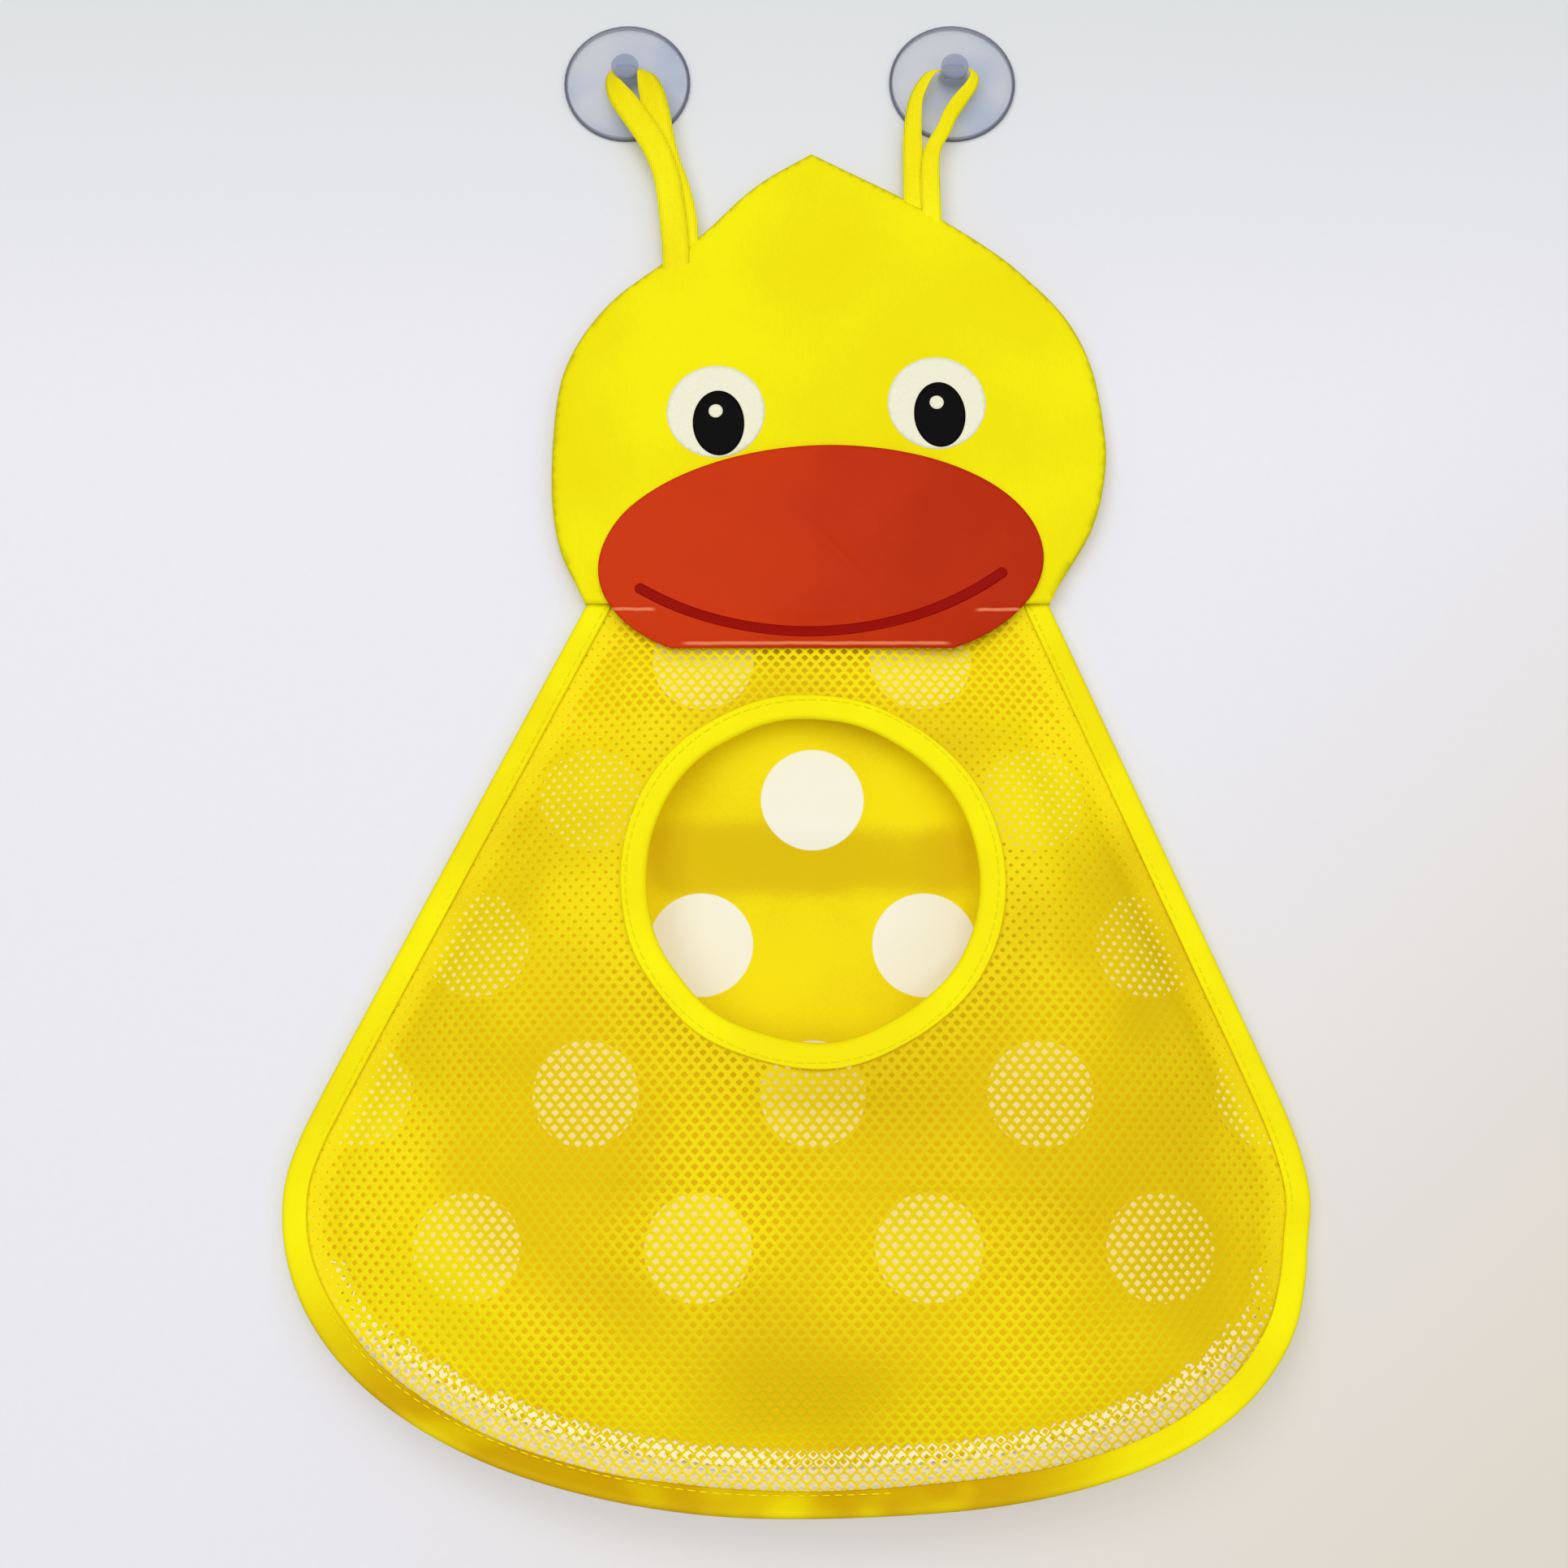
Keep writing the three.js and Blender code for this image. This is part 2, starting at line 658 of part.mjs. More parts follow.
// One moulding: a shallow bell with a flat rim, and a hub with the ribbon's hole across it
function suctionCup() {
  const radius = CUP_DIAMETER / 2;
  const hub = HUB_DIAMETER / 2;
  const cap = HUB_CAP_DIAMETER / 2;
  const rimInside = radius - CUP_RIM_WIDTH;
  const hollow = new THREE.EllipseCurve(0, 0, rimInside, CUP_HOLLOW_DEPTH, Math.PI / 2, 0, true);
  const crown = new THREE.QuadraticBezierCurve(
    new THREE.Vector2(radius, CUP_RIM_THICKNESS),
    new THREE.Vector2(radius / 2, CUP_CROWN_DEPTH - CUP_RIM_THICKNESS / 2),
    new THREE.Vector2(hub, CUP_CROWN_DEPTH),
  );
  const capStart = HUB_TIP_DEPTH - HUB_CAP_HEIGHT;
  const tip = new THREE.QuadraticBezierCurve(
    new THREE.Vector2(cap, HUB_TIP_DEPTH - HUB_CAP_HEIGHT / 2),
    new THREE.Vector2(cap, HUB_TIP_DEPTH),
    new THREE.Vector2(0, HUB_TIP_DEPTH),
  );
  const profile = [
    ...hollow.getPoints(CUP_CURVE_STEPS),
    new THREE.Vector2(radius, 0),
    ...crown.getPoints(CUP_CURVE_STEPS),
    new THREE.Vector2(hub, capStart),
    ...tip.getPoints(CAP_CURVE_STEPS),
  ];
  profile[0].x = 0;
  const bell = new THREE.LatheGeometry(profile, CUP_FACETS);
  bell.rotateX(Math.PI);
  const length = HUB_CAP_DIAMETER + CUT_OVERRUN;
  const hole = new THREE.CylinderGeometry(
    HUB_HOLE_DIAMETER / 2,
    HUB_HOLE_DIAMETER / 2,
    length,
    HOLE_FACETS,
  );
  hole.rotateZ(Math.PI / 2);
  hole.translate(0, -HUB_HOLE_DEPTH, 0);
  return geometryFrom(solidFrom(bell).subtract(solidFrom(hole)));
}

function beakOutline() {
  const centre = new THREE.Vector2(BEAK_SHIFT, BEAK_LEVEL);
  const whole = ellipse(centre, BEAK_HALF_WIDTH, BEAK_UPPER_HEIGHT, BEAK_LOWER_HEIGHT, BEAK_STEPS);
  return cutAtLevel(whole.map(faceToWall), -BEAK_HEM_DROP, true);
}

// Prints and the beak lie one film above another
const BEAK_DEPTH = HEAD_CLOTH_DEPTH + CLOTH_THICKNESS + CLEARANCE;
const PRINT_STEP = PRINT_THICKNESS + CLEARANCE;
const MOUTH_DEPTH = BEAK_DEPTH + VINYL_THICKNESS + CLEARANCE;
const FLAP_ANGLE = Math.atan(FLAP_FORWARD / FLAP_HEIGHT);

function beakUpper() {
  const outline = cutAtLevel(beakOutline(), CREASE_GAP / 2 - CREASE_DROP, true);
  return standingPlate(outline, BEAK_DEPTH, VINYL_THICKNESS);
}

// Turns a flat piece forward about the beak's crease, as the free flap hangs over the net
function leanFlap(geometry) {
  const middle = BEAK_DEPTH + VINYL_THICKNESS / 2;
  geometry.translate(0, middle, CREASE_DROP);
  geometry.rotateX(-FLAP_ANGLE);
  geometry.translate(0, -middle, -CREASE_DROP);
  return geometry;
}

function beakFlap() {
  const outline = cutAtLevel(beakOutline(), -CREASE_GAP / 2 - CREASE_DROP, false);
  return leanFlap(standingPlate(outline, BEAK_DEPTH, VINYL_THICKNESS));
}

// The mouth's stroke with round ends, in the wall's frame
function mouthOutline() {
  const radius = (MOUTH_HALF_SPAN ** 2 + MOUTH_SAG ** 2) / (2 * MOUTH_SAG);
  const reach = Math.asin(MOUTH_HALF_SPAN / radius);
  const centre = new THREE.Vector2(BEAK_SHIFT, MOUTH_LEVEL - MOUTH_SAG + radius);
  const half = MOUTH_STROKE / 2;
  const down = -Math.PI / 2;
  const stroke = new THREE.Path();
  stroke.absarc(centre.x, centre.y, radius + half, down - reach, down + reach, false);
  const lower = stroke.getPoints(MOUTH_STEPS);
  const upper = new THREE.Path();
  upper.absarc(centre.x, centre.y, radius - half, down + reach, down - reach, true);
  const end = (turn) =>
    new THREE.Vector2(
      centre.x + radius * Math.cos(turn) + half * Math.sin(-turn) * Math.sign(turn - down),
      centre.y + radius * Math.sin(turn) + half * Math.cos(turn) * Math.sign(turn - down),
    );
  const outline = [...lower, end(down + reach), ...upper.getPoints(MOUTH_STEPS), end(down - reach)];
  return outline.map(faceToWall);
}

function mouthPart(part) {
  const clear = 2 * CREASE_GAP;
  const whole = mouthOutline();
  if (part === "middle") {
    const outline = cutAtLevel(whole, -CREASE_DROP - clear, false);
    return leanFlap(standingPlate(outline, MOUTH_DEPTH, PRINT_THICKNESS));
  }
  const side = part === "left" ? -1 : 1;
  const strip = solidFrom(standingPlate(whole, MOUTH_DEPTH, PRINT_THICKNESS));
  const width = 2 * BEAK_HALF_WIDTH;
  const half = new THREE.BoxGeometry(width, width, width);
  half.translate(FACE_X + (side * width) / 2, -MOUTH_DEPTH, (width + clear) / 2 - CREASE_DROP);
  return geometryFrom(strip.intersect(solidFrom(half)));
}

// Eye prints: white, pupil and glint, one on another
function eyePiece(side, piece) {
  const eye = new THREE.Vector2(EYES_SHIFT + (side * EYE_SPACING) / 2, EYE_HEIGHT);
  const pupil = eye.clone().add(new THREE.Vector2(PUPIL_SHIFT, -PUPIL_DROP));
  const glint = pupil.clone().add(new THREE.Vector2(GLINT_SHIFT, GLINT_RISE));
  const outlines = {
    white: () => ellipse(eye, EYE_RADIUS, EYE_RADIUS, EYE_RADIUS, EYE_STEPS),
    pupil: () => ellipse(pupil, PUPIL_HALF_WIDTH, PUPIL_HALF_HEIGHT, PUPIL_HALF_HEIGHT, EYE_STEPS),
    glint: () => ellipse(glint, GLINT_RADIUS, GLINT_RADIUS, GLINT_RADIUS, GLINT_STEPS),
  };
  const level = ["white", "pupil", "glint"].indexOf(piece);
  const outline = outlines[piece]().map(faceToWall);
  return standingPlate(outline, BEAK_DEPTH + level * PRINT_STEP, PRINT_THICKNESS);
}

// Finishes: colour, roughness
const FINISHES = {
  cupPlastic: { color: 0xb4becd, roughness: 0.25 },
  headCloth: { color: 0xf4ec0c, roughness: 0.7 },
  backCloth: { color: 0xf2dc14, roughness: 0.75 },
  net: { color: 0xebd608, roughness: 0.65 },
  floorNet: { color: 0xf3ecb0, roughness: 0.65 },
  tape: { color: 0xfcf308, roughness: 0.6 },
  ribbon: { color: 0xf0e114, roughness: 0.55 },
  beakVinyl: { color: 0xc83a14, roughness: 0.35 },
  mouthInk: { color: 0xa81408, roughness: 0.45 },
  eyeWhite: { color: 0xefebd8, roughness: 0.5 },
  pupilInk: { color: 0x0d0c0c, roughness: 0.35 },
};

function piece(name, geometry, finish) {
  const material = new THREE.MeshStandardMaterial({ ...FINISHES[finish], metalness: 0 });
  const mesh = new THREE.Mesh(geometry, material);
  mesh.name = name;
  return mesh;
}

function bag() {
  const group = new THREE.Group();
  group.add(
    piece("back_panel", backPanel(), "backCloth"),
    piece("front_net", frontNet(), "net"),
    piece("floor_net", floorNet(), "floorNet"),
    piece("edge_binding", edgeBinding(), "tape"),
    piece("opening_binding", openingRing(), "tape"),
    piece("head_panel", headPanel(), "headCloth"),
    piece("beak_upper", beakUpper(), "beakVinyl"),
    piece("beak_flap", beakFlap(), "beakVinyl"),
  );
  for (const part of ["left", "middle", "right"]) {
    group.add(piece(`mouth_${part}`, mouthPart(part), "mouthInk"));
  }
  for (const [name, side] of [["left", -1], ["right", 1]]) {
    group.add(
      piece(`eye_white_${name}`, eyePiece(side, "white"), "eyeWhite"),
      piece(`pupil_${name}`, eyePiece(side, "pupil"), "pupilInk"),
      piece(`glint_${name}`, eyePiece(side, "glint"), "eyeWhite"),
    );
  }
  for (const loop of LOOPS) {
    group.add(piece(`ribbon_loop_${loop.name}`, ribbonLoop(loop), "ribbon"));
  }
  return group;
}

const organizer = new THREE.Group();
for (const loop of LOOPS) {
  const cup = piece(`suction_cup_${loop.name}`, suctionCup(), "cupPlastic");
  cup.position.x = hubX(loop);
  organizer.add(cup);
}
organizer.add(bag());

export default organizer;
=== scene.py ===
"""Looks of a duck-shaped bath toy bag that hangs on a wall from two suction cups.

Everything is in metres, in the wall's frame: X to the right, -Y towards the room, Z up.
"""

import math

import bmesh
import bpy
import numpy as np
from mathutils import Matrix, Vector, geometry
from mathutils.bvhtree import BVHTree


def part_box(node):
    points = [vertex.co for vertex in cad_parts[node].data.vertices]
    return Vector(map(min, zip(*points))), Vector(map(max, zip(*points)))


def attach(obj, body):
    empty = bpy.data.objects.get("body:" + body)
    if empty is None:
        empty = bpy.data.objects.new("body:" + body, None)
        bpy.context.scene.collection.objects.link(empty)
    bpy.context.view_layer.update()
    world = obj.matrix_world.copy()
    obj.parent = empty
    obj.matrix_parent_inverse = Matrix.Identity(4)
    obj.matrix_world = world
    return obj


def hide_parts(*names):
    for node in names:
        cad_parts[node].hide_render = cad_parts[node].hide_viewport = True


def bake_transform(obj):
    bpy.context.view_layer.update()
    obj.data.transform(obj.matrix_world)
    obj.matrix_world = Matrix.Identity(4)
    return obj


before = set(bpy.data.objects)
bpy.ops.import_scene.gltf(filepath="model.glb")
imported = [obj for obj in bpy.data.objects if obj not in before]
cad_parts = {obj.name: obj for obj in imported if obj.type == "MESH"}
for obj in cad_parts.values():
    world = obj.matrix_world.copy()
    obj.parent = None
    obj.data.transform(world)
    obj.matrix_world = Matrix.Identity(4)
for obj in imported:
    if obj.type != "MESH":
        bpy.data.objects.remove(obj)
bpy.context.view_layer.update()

bl_info = {
    "name": "Bath toy bag",
    "version": (1, 0, 0),
    "blender": (4, 5, 0),
    "location": "View3D > Sidebar > Toy Bag",
    "description": "Builds the cloth, net, tape and cups of a hanging bath toy bag on its frame",
    "category": "Object",
}


MM = 0.001
BAG = "bag"
TOWARDS_ROOM = np.array([0.0, -1.0, 0.0])

# The photograph's camera: it stands below the bag's middle and looks up at it
CAMERA_PLACE = Vector((-1.97 * MM, -561.5 * MM, -356.2 * MM))
CAMERA_PITCH = math.radians(11)
CAMERA_LENS = 40.99
CAMERA_SENSOR = 36

# Levels and thicknesses that pieces share
CREASE_UP = -191.4 * MM
CREASE_CLEAR = 1 * MM
NECK_UP = -189 * MM
HEM_UP = -203.2 * MM
FLOOR_LEAN = math.radians(42)
RING_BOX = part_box("opening_binding")
RING_HALF = 1.5 * MM
TAPE_HALF = 1.55 * MM
TAPE_BACK = 0.75 * MM
SEAM_INSET = 0.8 * MM
CLOTH_GAP = 0.3 * MM
BEAK_LIFT = 0.45 * MM
BEAK_OVER_HEAD = 0.6 * MM
FLAP_HEIGHT = 13.6 * MM

# A folded tape's section: its cloth, corners of the fold, corners along a lip in widths, and how
# round a lip's end and the inside of the fold are, as shares of the cloth
TAPE_CLOTH = 0.45 * MM
FOLD_CORNERS = 5
TAPE_LIP = 0.35, 0.7, 0.94
TAPE_ROUNDED = 0.3
TAPE_CREASED = 0.2

# Lowest share of a face's normal that looks into the room, on flat and on sloping pieces
FACING = 0.3
FACING_SLOPED = 0.2

# Smallest length of a normal that isn't a sliver's, the smallest length at all and its square,
# and the decimals by which vertices are told apart
SLIVER = 1e-12
TINY = 1e-15
TINY_SQUARE = 1e-18
WELD_DECIMALS = 7

# Points between two given ones of a smooth curve, and the fewest of a whole one
CURVE_STEPS = 16
LEAST_STEPS = 8
CORNER = math.radians(32)

# A triangle grid: height of a row, and clearance from the rim, as shares of a side
TRIANGLE_ROW = 0.866
RIM_SHARE = 0.45
JOIN_DISTANCE = 1e-9

# Where a fold starts to rise, as a share of its length
FOLD_END = 0.02

# Table of random values behind a swell, and where the bag lies on it, in cells
SWELL_CELLS = 64
SWELL_START = 31.7, 57.3

# Spacings of the points along outlines and across cloths
CLOTH_OUTLINE = 4 * MM
BACK_SPACING = 3 * MM
HEAD_OUTLINE = 2.5 * MM
HEAD_SPACING = 2.4 * MM
BEAK_SPACING = 1.2 * MM
SEAM_SPACING = 2.5 * MM
FLOOR_SPACING = 1.8 * MM
RIBBON_SPACING = 1.2

# Where the head's cloth and the bag's cloths fold: two ends across and up, width and height, all
# in millimetres, with valleys below zero
HEAD_FOLDS = (
    ((-52, -74), (-30, -77), 1.6, 0.5),
    ((-44, -72), (10, -98), 6, 1.0),
    ((60, -62), (48, -64), 1.6, 0.5),
    ((44, -58), (20, -92), 7, 0.9),
    ((-20, -66), (70, -72), 5, 0.7),
    ((88, -95), (66, -145), 8, 1.1),
    ((-70, -115), (-54, -165), 7, 1.0),
)
BEAK_FOLDS = (
    ((6, -162), (25, -182), 1.8, 0.8),
    ((-20, -150), (35, -152), 9, 0.5),
    ((-57, -190.8), (-44, -191), 0.9, 0.55),
    ((60, -191), (73, -191), 0.9, 0.55),
    ((-52, -193.5), (-42, -201), 2.6, -0.6),
    ((68, -194), (56, -201), 2.6, -0.6),
    ((-37, -203.2), (50, -203.2), 0.8, 0.5),
)
BACK_FOLDS = (
    ((-52, -260), (64, -264), 8, 4.2),
    ((-52, -280), (64, -284), 8, -2.2),
    ((30, -318), (66, -292), 1.8, 1.1),
)
NET_FOLDS = (
    ((-90, -368), (95, -372), 2.2, 1.0),
    ((-80, -202), (-28, -222), 9, 2.8),
    ((-72, -226), (-46, -236), 9, -2.4),
    ((-112, -300), (-62, -340), 12, 4.0),
    ((-135, -330), (-88, -362), 12, -3.0),
    ((118, -290), (84, -338), 12, 4.0),
    ((78, -206), (86, -262), 9, -2.6),
    ((-18, -352), (40, -350), 8, 3.4),
    ((-20, -372), (60, -380), 10, -2.6),
    ((-120, -385), (-60, -425), 12, 3.4),
    ((-20, -420), (60, -424), 12, 2.2),
    ((70, -405), (125, -378), 11, 3.2),
)
# Places where the net hangs slack; here a height is in thousandths of a hole's share
NET_SLACK = (
    ((-14, -338), (34, -336), 9, 300),
    ((-112, -398), (-84, -404), 9, 300),
)

# Soft waves of the cloths: height and length of a wave in millimetres, and a seed
HEAD_SWELL = ((0.9, 48, 3), (0.3, 19, 8))
BEAK_SWELL = ((0.4, 32, 21), (0.1, 11, 22))
BACK_SWELL = ((0.7, 60, 5), (0.3, 22, 6))
NET_SWELL = ((2.6, 52, 11), (0.6, 21, 12))

# Waves of the edge tape: height in millimetres, length and seed; where the second one grows
TAPE_WAVES = ((0.4, 18 * MM, 30), (0.3, 34 * MM, 31))
TAPE_LOW = -360 * MM
TAPE_LOWERS = 60 * MM

# Sewn threads: pitch in stitches, girth from end to end, height and lift in widths
THREAD_WIDTH = 0.45 * MM
THREAD_SIDES = 6
THREAD_GIRTHS = (0.35, 0.9, 1.0, 0.9, 0.35)
THREAD_FLATNESS = 0.55
THREAD_LIFT = 0.25
STITCH_PITCH = 1.35

# The net's cells: corners, and how close the corners of two cells lie that are one
CELL_CORNERS = 6
CELL_JOIN = 0.02 * MM

# How strongly cloth and print shine, and scales of their noise in clouds per metre
CLOTH_SHINE = 0.06
PRINT_SHINE = 0.03
THREAD_NOISE = 900
STRAND_NOISE = 1400
PRINT_NOISE = 1500
VINYL_NOISE = 2200
CLOUDS = {"cloth": 16, "back": 18, "net": 11, "tape": 28, "vinyl": 35, "cup": 38, "wall": 300}

# Where the finishes change, from and to, in millimetres: the net is painted lighter at the neck
# and low left, standing in for light; the tape carries painted shade under the bag; the crease and
# the hem are paler from wear and a painted highlight; and the wall carries painted shade, darker
# at the top with a painted shadow towards the lower right
NET_LIT_NECK = -245, -212
NET_LIT_LOW_LEFT = 425, 470
SHADE_UNDER_BAG = 396, 440
SHADE_RIGHT_END = 50, 110
CREASE_WEAR_AND_HIGHLIGHT = 51, 53.5
HEM_WEAR_AND_HIGHLIGHT = 40, 44
WALL_SHADE_ABOVE = -140, 60
WALL_SHADOW_CORNER = 280, 780

# Painted shade in the valley of the fold inside the opening: its middle up and across, and its
# blur there
FOLD_SHADE_UP, FOLD_SHADE_HEIGHT = -272, (4, 15)
FOLD_SHADE_ACROSS, FOLD_SHADE_WIDTH = 7, (40, 58)

# The printed dots: blur of their edge and of the last row's end, and rows before the first
DOT_BLUR = 0.25
DOT_END_BLUR = 1
DOTS_BEFORE = 20

# Second colours of the finishes, 0 to 255, among them painted shades, a painted shadow of the
# net and a painted highlight on the beak; the first ones are in the settings
SHADES = {
    "head cloth": (240, 226, 6),
    "ribbon": (238, 218, 8),
    "back": (222, 192, 8),
    "back in painted net shadow": (216, 180, 6),
    "dot in painted net shadow": (245, 236, 166),
    "front net": (225, 195, 4),
    "floor net": (250, 244, 210),
    "edge tape": (244, 228, 6),
    "opening tape": (246, 231, 8),
    "painted tape shade under the bag": (208, 168, 4),
    "thread": (248, 236, 20),
    "beak": (201, 53, 4),
    "beak wear and highlight": (238, 140, 96),
    "pupil": (8, 8, 8),
    "cup": (216, 218, 226),
    "cup hub": (150, 158, 186),
    "cup rim": (96, 98, 118),
    "wall": (232, 231, 236),
    "painted wall shade above": (220, 222, 222),
    "painted wall shadow at the corner": (224, 216, 201),
}


# Geometry shared by the pieces


def node_mesh(node):
    """A CAD node's welded vertices and triangles, as arrays."""
    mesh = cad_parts[node].data
    mesh.calc_loop_triangles()
    places = np.array([v.co for v in mesh.vertices]).reshape(-1, 3)
    triangles = np.array([t.vertices for t in mesh.loop_triangles]).reshape(-1, 3)
    welded, index = np.unique(np.round(places, WELD_DECIMALS), axis=0, return_inverse=True)
    return welded, index.reshape(-1)[triangles]


def unit(vectors, least=TINY):
    """Directions of length 1."""
    return vectors / np.maximum(np.linalg.norm(vectors, axis=1), least)[:, None]


def front_loops(node, facing=FACING):
    """Closed outlines in space of a CAD node's faces that look into the room, widest first."""
    places, triangles = node_mesh(node)
    a, b, c = (places[triangles[:, i]] for i in range(3))
    normals = unit(np.cross(b - a, c - a), SLIVER)
    front = triangles[normals[:, 1] < -facing]
    edges = {(int(tri[i]), int(tri[(i + 1) % 3])) for tri in front for i in range(3)}
    onward = {start: end for start, end in edges if (end, start) not in edges}
    loops = []
    while onward:
        start, at = next(iter(onward.items()))
        del onward[start]
        loop = [start]
        while at != start and at in onward:
            loop.append(at)
            at = onward.pop(at)
        loops.append(places[loop])
    return sorted(loops, key=lambda loop: -np.ptp(loop, axis=0).max())


def run_along(path):
    """Distance run from a path's start to each of its points."""
    return np.concatenate([[0], np.cumsum(np.linalg.norm(np.diff(path, axis=0), axis=1))])


def at_run(places, run, rows):
    """Rows of values, known at each distance run, read at other places along the run."""
    return np.stack([np.interp(places, run, column) for column in rows.T], axis=1)


def resampled(points, spacing, closed=True):
    """Points at an even spacing along the Catmull-Rom curve through the given ones."""
    points = np.asarray(points, float)
    count = len(points)
    if closed:
        padded = np.vstack([points[-1], points, points[:2]])
    else:
        padded = np.vstack([2 * points[0] - points[1], points, 2 * points[-1] - points[-2]])
    share = np.linspace(0, 1, CURVE_STEPS, endpoint=False)[:, None]
    fine = []
    for i in range(count if closed else count - 1):
        p0, p1, p2, p3 = padded[i : i + 4]
        bend = 2 * p0 - 5 * p1 + 4 * p2 - p3
        turn = 3 * p1 - p0 - 3 * p2 + p3
        fine.append(p1 + (p2 - p0) * share / 2 + bend * share**2 / 2 + turn * share**3 / 2)
    fine = np.vstack(fine + [points[:1] if closed else points[-1:]])
    run = run_along(fine)
    steps = max(int(round(run[-1] / spacing)), LEAST_STEPS)
    places = np.linspace(0, run[-1], steps + (0 if closed else 1), endpoint=not closed)
    return at_run(places, run, fine)


def smoothed(loop, spacing, corner=CORNER):
    """A closed outline resampled along smooth curves that keep its sharp corners."""
    into = unit(loop - np.roll(loop, 1, axis=0))
    out = unit(np.roll(loop, -1, axis=0) - loop)
    corners = np.flatnonzero(np.sum(into * out, axis=1) < math.cos(corner))
    if len(corners) == 0:
        return resampled(loop, spacing)
    loop = np.roll(loop, -corners[0], axis=0)
    stops = list(corners - corners[0]) + [len(loop)]
    loop = np.vstack([loop, loop[:1]])
    runs = [
        resampled(loop[start : end + 1], spacing, closed=False)[:-1]
        if end - start > 1
        else even_line(loop[start], loop[end], spacing)[:-1]
        for start, end in zip(stops, stops[1:])
    ]
    return np.vstack(runs)


def even_line(start, end, spacing):
    """Points at an even spacing along a straight line."""
    steps = max(int(round(np.linalg.norm(end - start) / spacing)), 1)
    return start + (end - start) * np.linspace(0, 1, steps + 1)[:, None]


def inside(points, outline):
    """Which of the flat points lie inside a closed outline."""
    x, z = points[:, :1], points[:, 1:2]
    x1, z1 = outline[:, 0], outline[:, 1]
    x2, z2 = np.roll(x1, -1), np.roll(z1, -1)
    crosses = (z1 > z) != (z2 > z)
    with np.errstate(divide="ignore", invalid="ignore"):
        cut = x1 + (z - z1) * (x2 - x1) / (z2 - z1)
    return (np.sum(crosses & (x < cut), axis=1) % 2) == 1


def reach(points, outline):
    """Distance of each flat point to a closed outline."""
    best = np.full(len(points), np.inf)
    for start, end in zip(outline, np.roll(outline, -1, axis=0)):
        along = end - start
        share = np.clip((points - start) @ along / max(along @ along, TINY_SQUARE), 0, 1)
        best = np.minimum(best, np.linalg.norm(points - start - share[:, None] * along, axis=1))
    return best


def nearest(points, path):
    """For each flat point, the index of the nearest point of a path and the distance to it."""
    best = np.full(len(points), np.inf)
    index = np.zeros(len(points), int)
    for i, stop in enumerate(path):
        distance = np.hypot(points[:, 0] - stop[0], points[:, 1] - stop[1])
        closer = distance < best
        best[closer], index[closer] = distance[closer], i
    return index, best


def eased(value, low, high):
    """0 below low, 1 above high, smooth between."""
    share = np.clip((value - low) / (high - low), 0, 1)
    return share * share * (3 - 2 * share)


def staggered(low, high, pitch, row):
    """Places in staggered rows that fill a rectangle."""
    rows = []
    for k, up in enumerate(np.arange(low[1], high[1], row)):
        across = np.arange(low[0] + (k % 2) * pitch / 2, high[0], pitch)
        rows.append(np.stack([across, np.full(len(across), up)], axis=1))
    return np.vstack(rows)


def filled(outline, spacing):
    """A flat outline filled with even triangles: points and triangles."""
    grid = staggered(outline.min(0), outline.max(0), spacing, spacing * TRIANGLE_ROW)
    grid = grid[inside(grid, outline)]
    grid = grid[reach(grid, outline) > spacing * RIM_SHARE]
    points = [Vector(p) for p in np.vstack([outline, grid])]
    edges = [(i, (i + 1) % len(outline)) for i in range(len(outline))]
    made = geometry.delaunay_2d_cdt(points, edges, [], 0, JOIN_DISTANCE)
    points = np.array([tuple(p) for p in made[0]])
    triangles = np.array([f for f in made[2] if len(f) == 3])
    return points, triangles[inside(points[triangles].mean(axis=1), outline)]


def in_cell(corner, right, up):
    """Value inside a cell, from its corners and the shares of the way to the right and up."""
    low = corner(0, 0) * (1 - right) + corner(1, 0) * right
    high = corner(0, 1) * (1 - right) + corner(1, 1) * right
    return low * (1 - up) + high * up


def undulation(x, z, cell, seed):
    """Soft random swell between -1 and 1, with waves about one cell long."""
    table = np.random.RandomState(seed).uniform(-1, 1, (SWELL_CELLS, SWELL_CELLS))
    u, v = x / cell + SWELL_START[0], z / cell + SWELL_START[1]
    i, j = np.floor(u).astype(int), np.floor(v).astype(int)

    def corner(a, b):
        return table[(i + a) % SWELL_CELLS, (j + b) % SWELL_CELLS]

    return in_cell(corner, eased(u - i, 0, 1), eased(v - j, 0, 1))


def folds(x, z, table):
    """Height of long soft ridges and, below zero, of valleys: one for each row of a table."""
    total = 0.0
    for start, end, width, height in table:
        start, end = np.array(start) * MM, np.array(end) * MM
        along = end - start
        share = ((x - start[0]) * along[0] + (z - start[1]) * along[1]) / (along @ along)
        near = np.clip(share, 0, 1)
        off = np.hypot(x - start[0] - near * along[0], z - start[1] - near * along[1])
        taper = np.sin(np.pi * np.clip(share, FOLD_END, 1 - FOLD_END)) ** 0.5
        total = total + height * MM * np.exp(-((off / (width * MM)) ** 2)) * taper
    return total


def swell(x, z, table):
    """Height of soft random waves: one set for each row of a table."""
    return sum(height * MM * undulation(x, z, wave * MM, seed) for height, wave, seed in table)


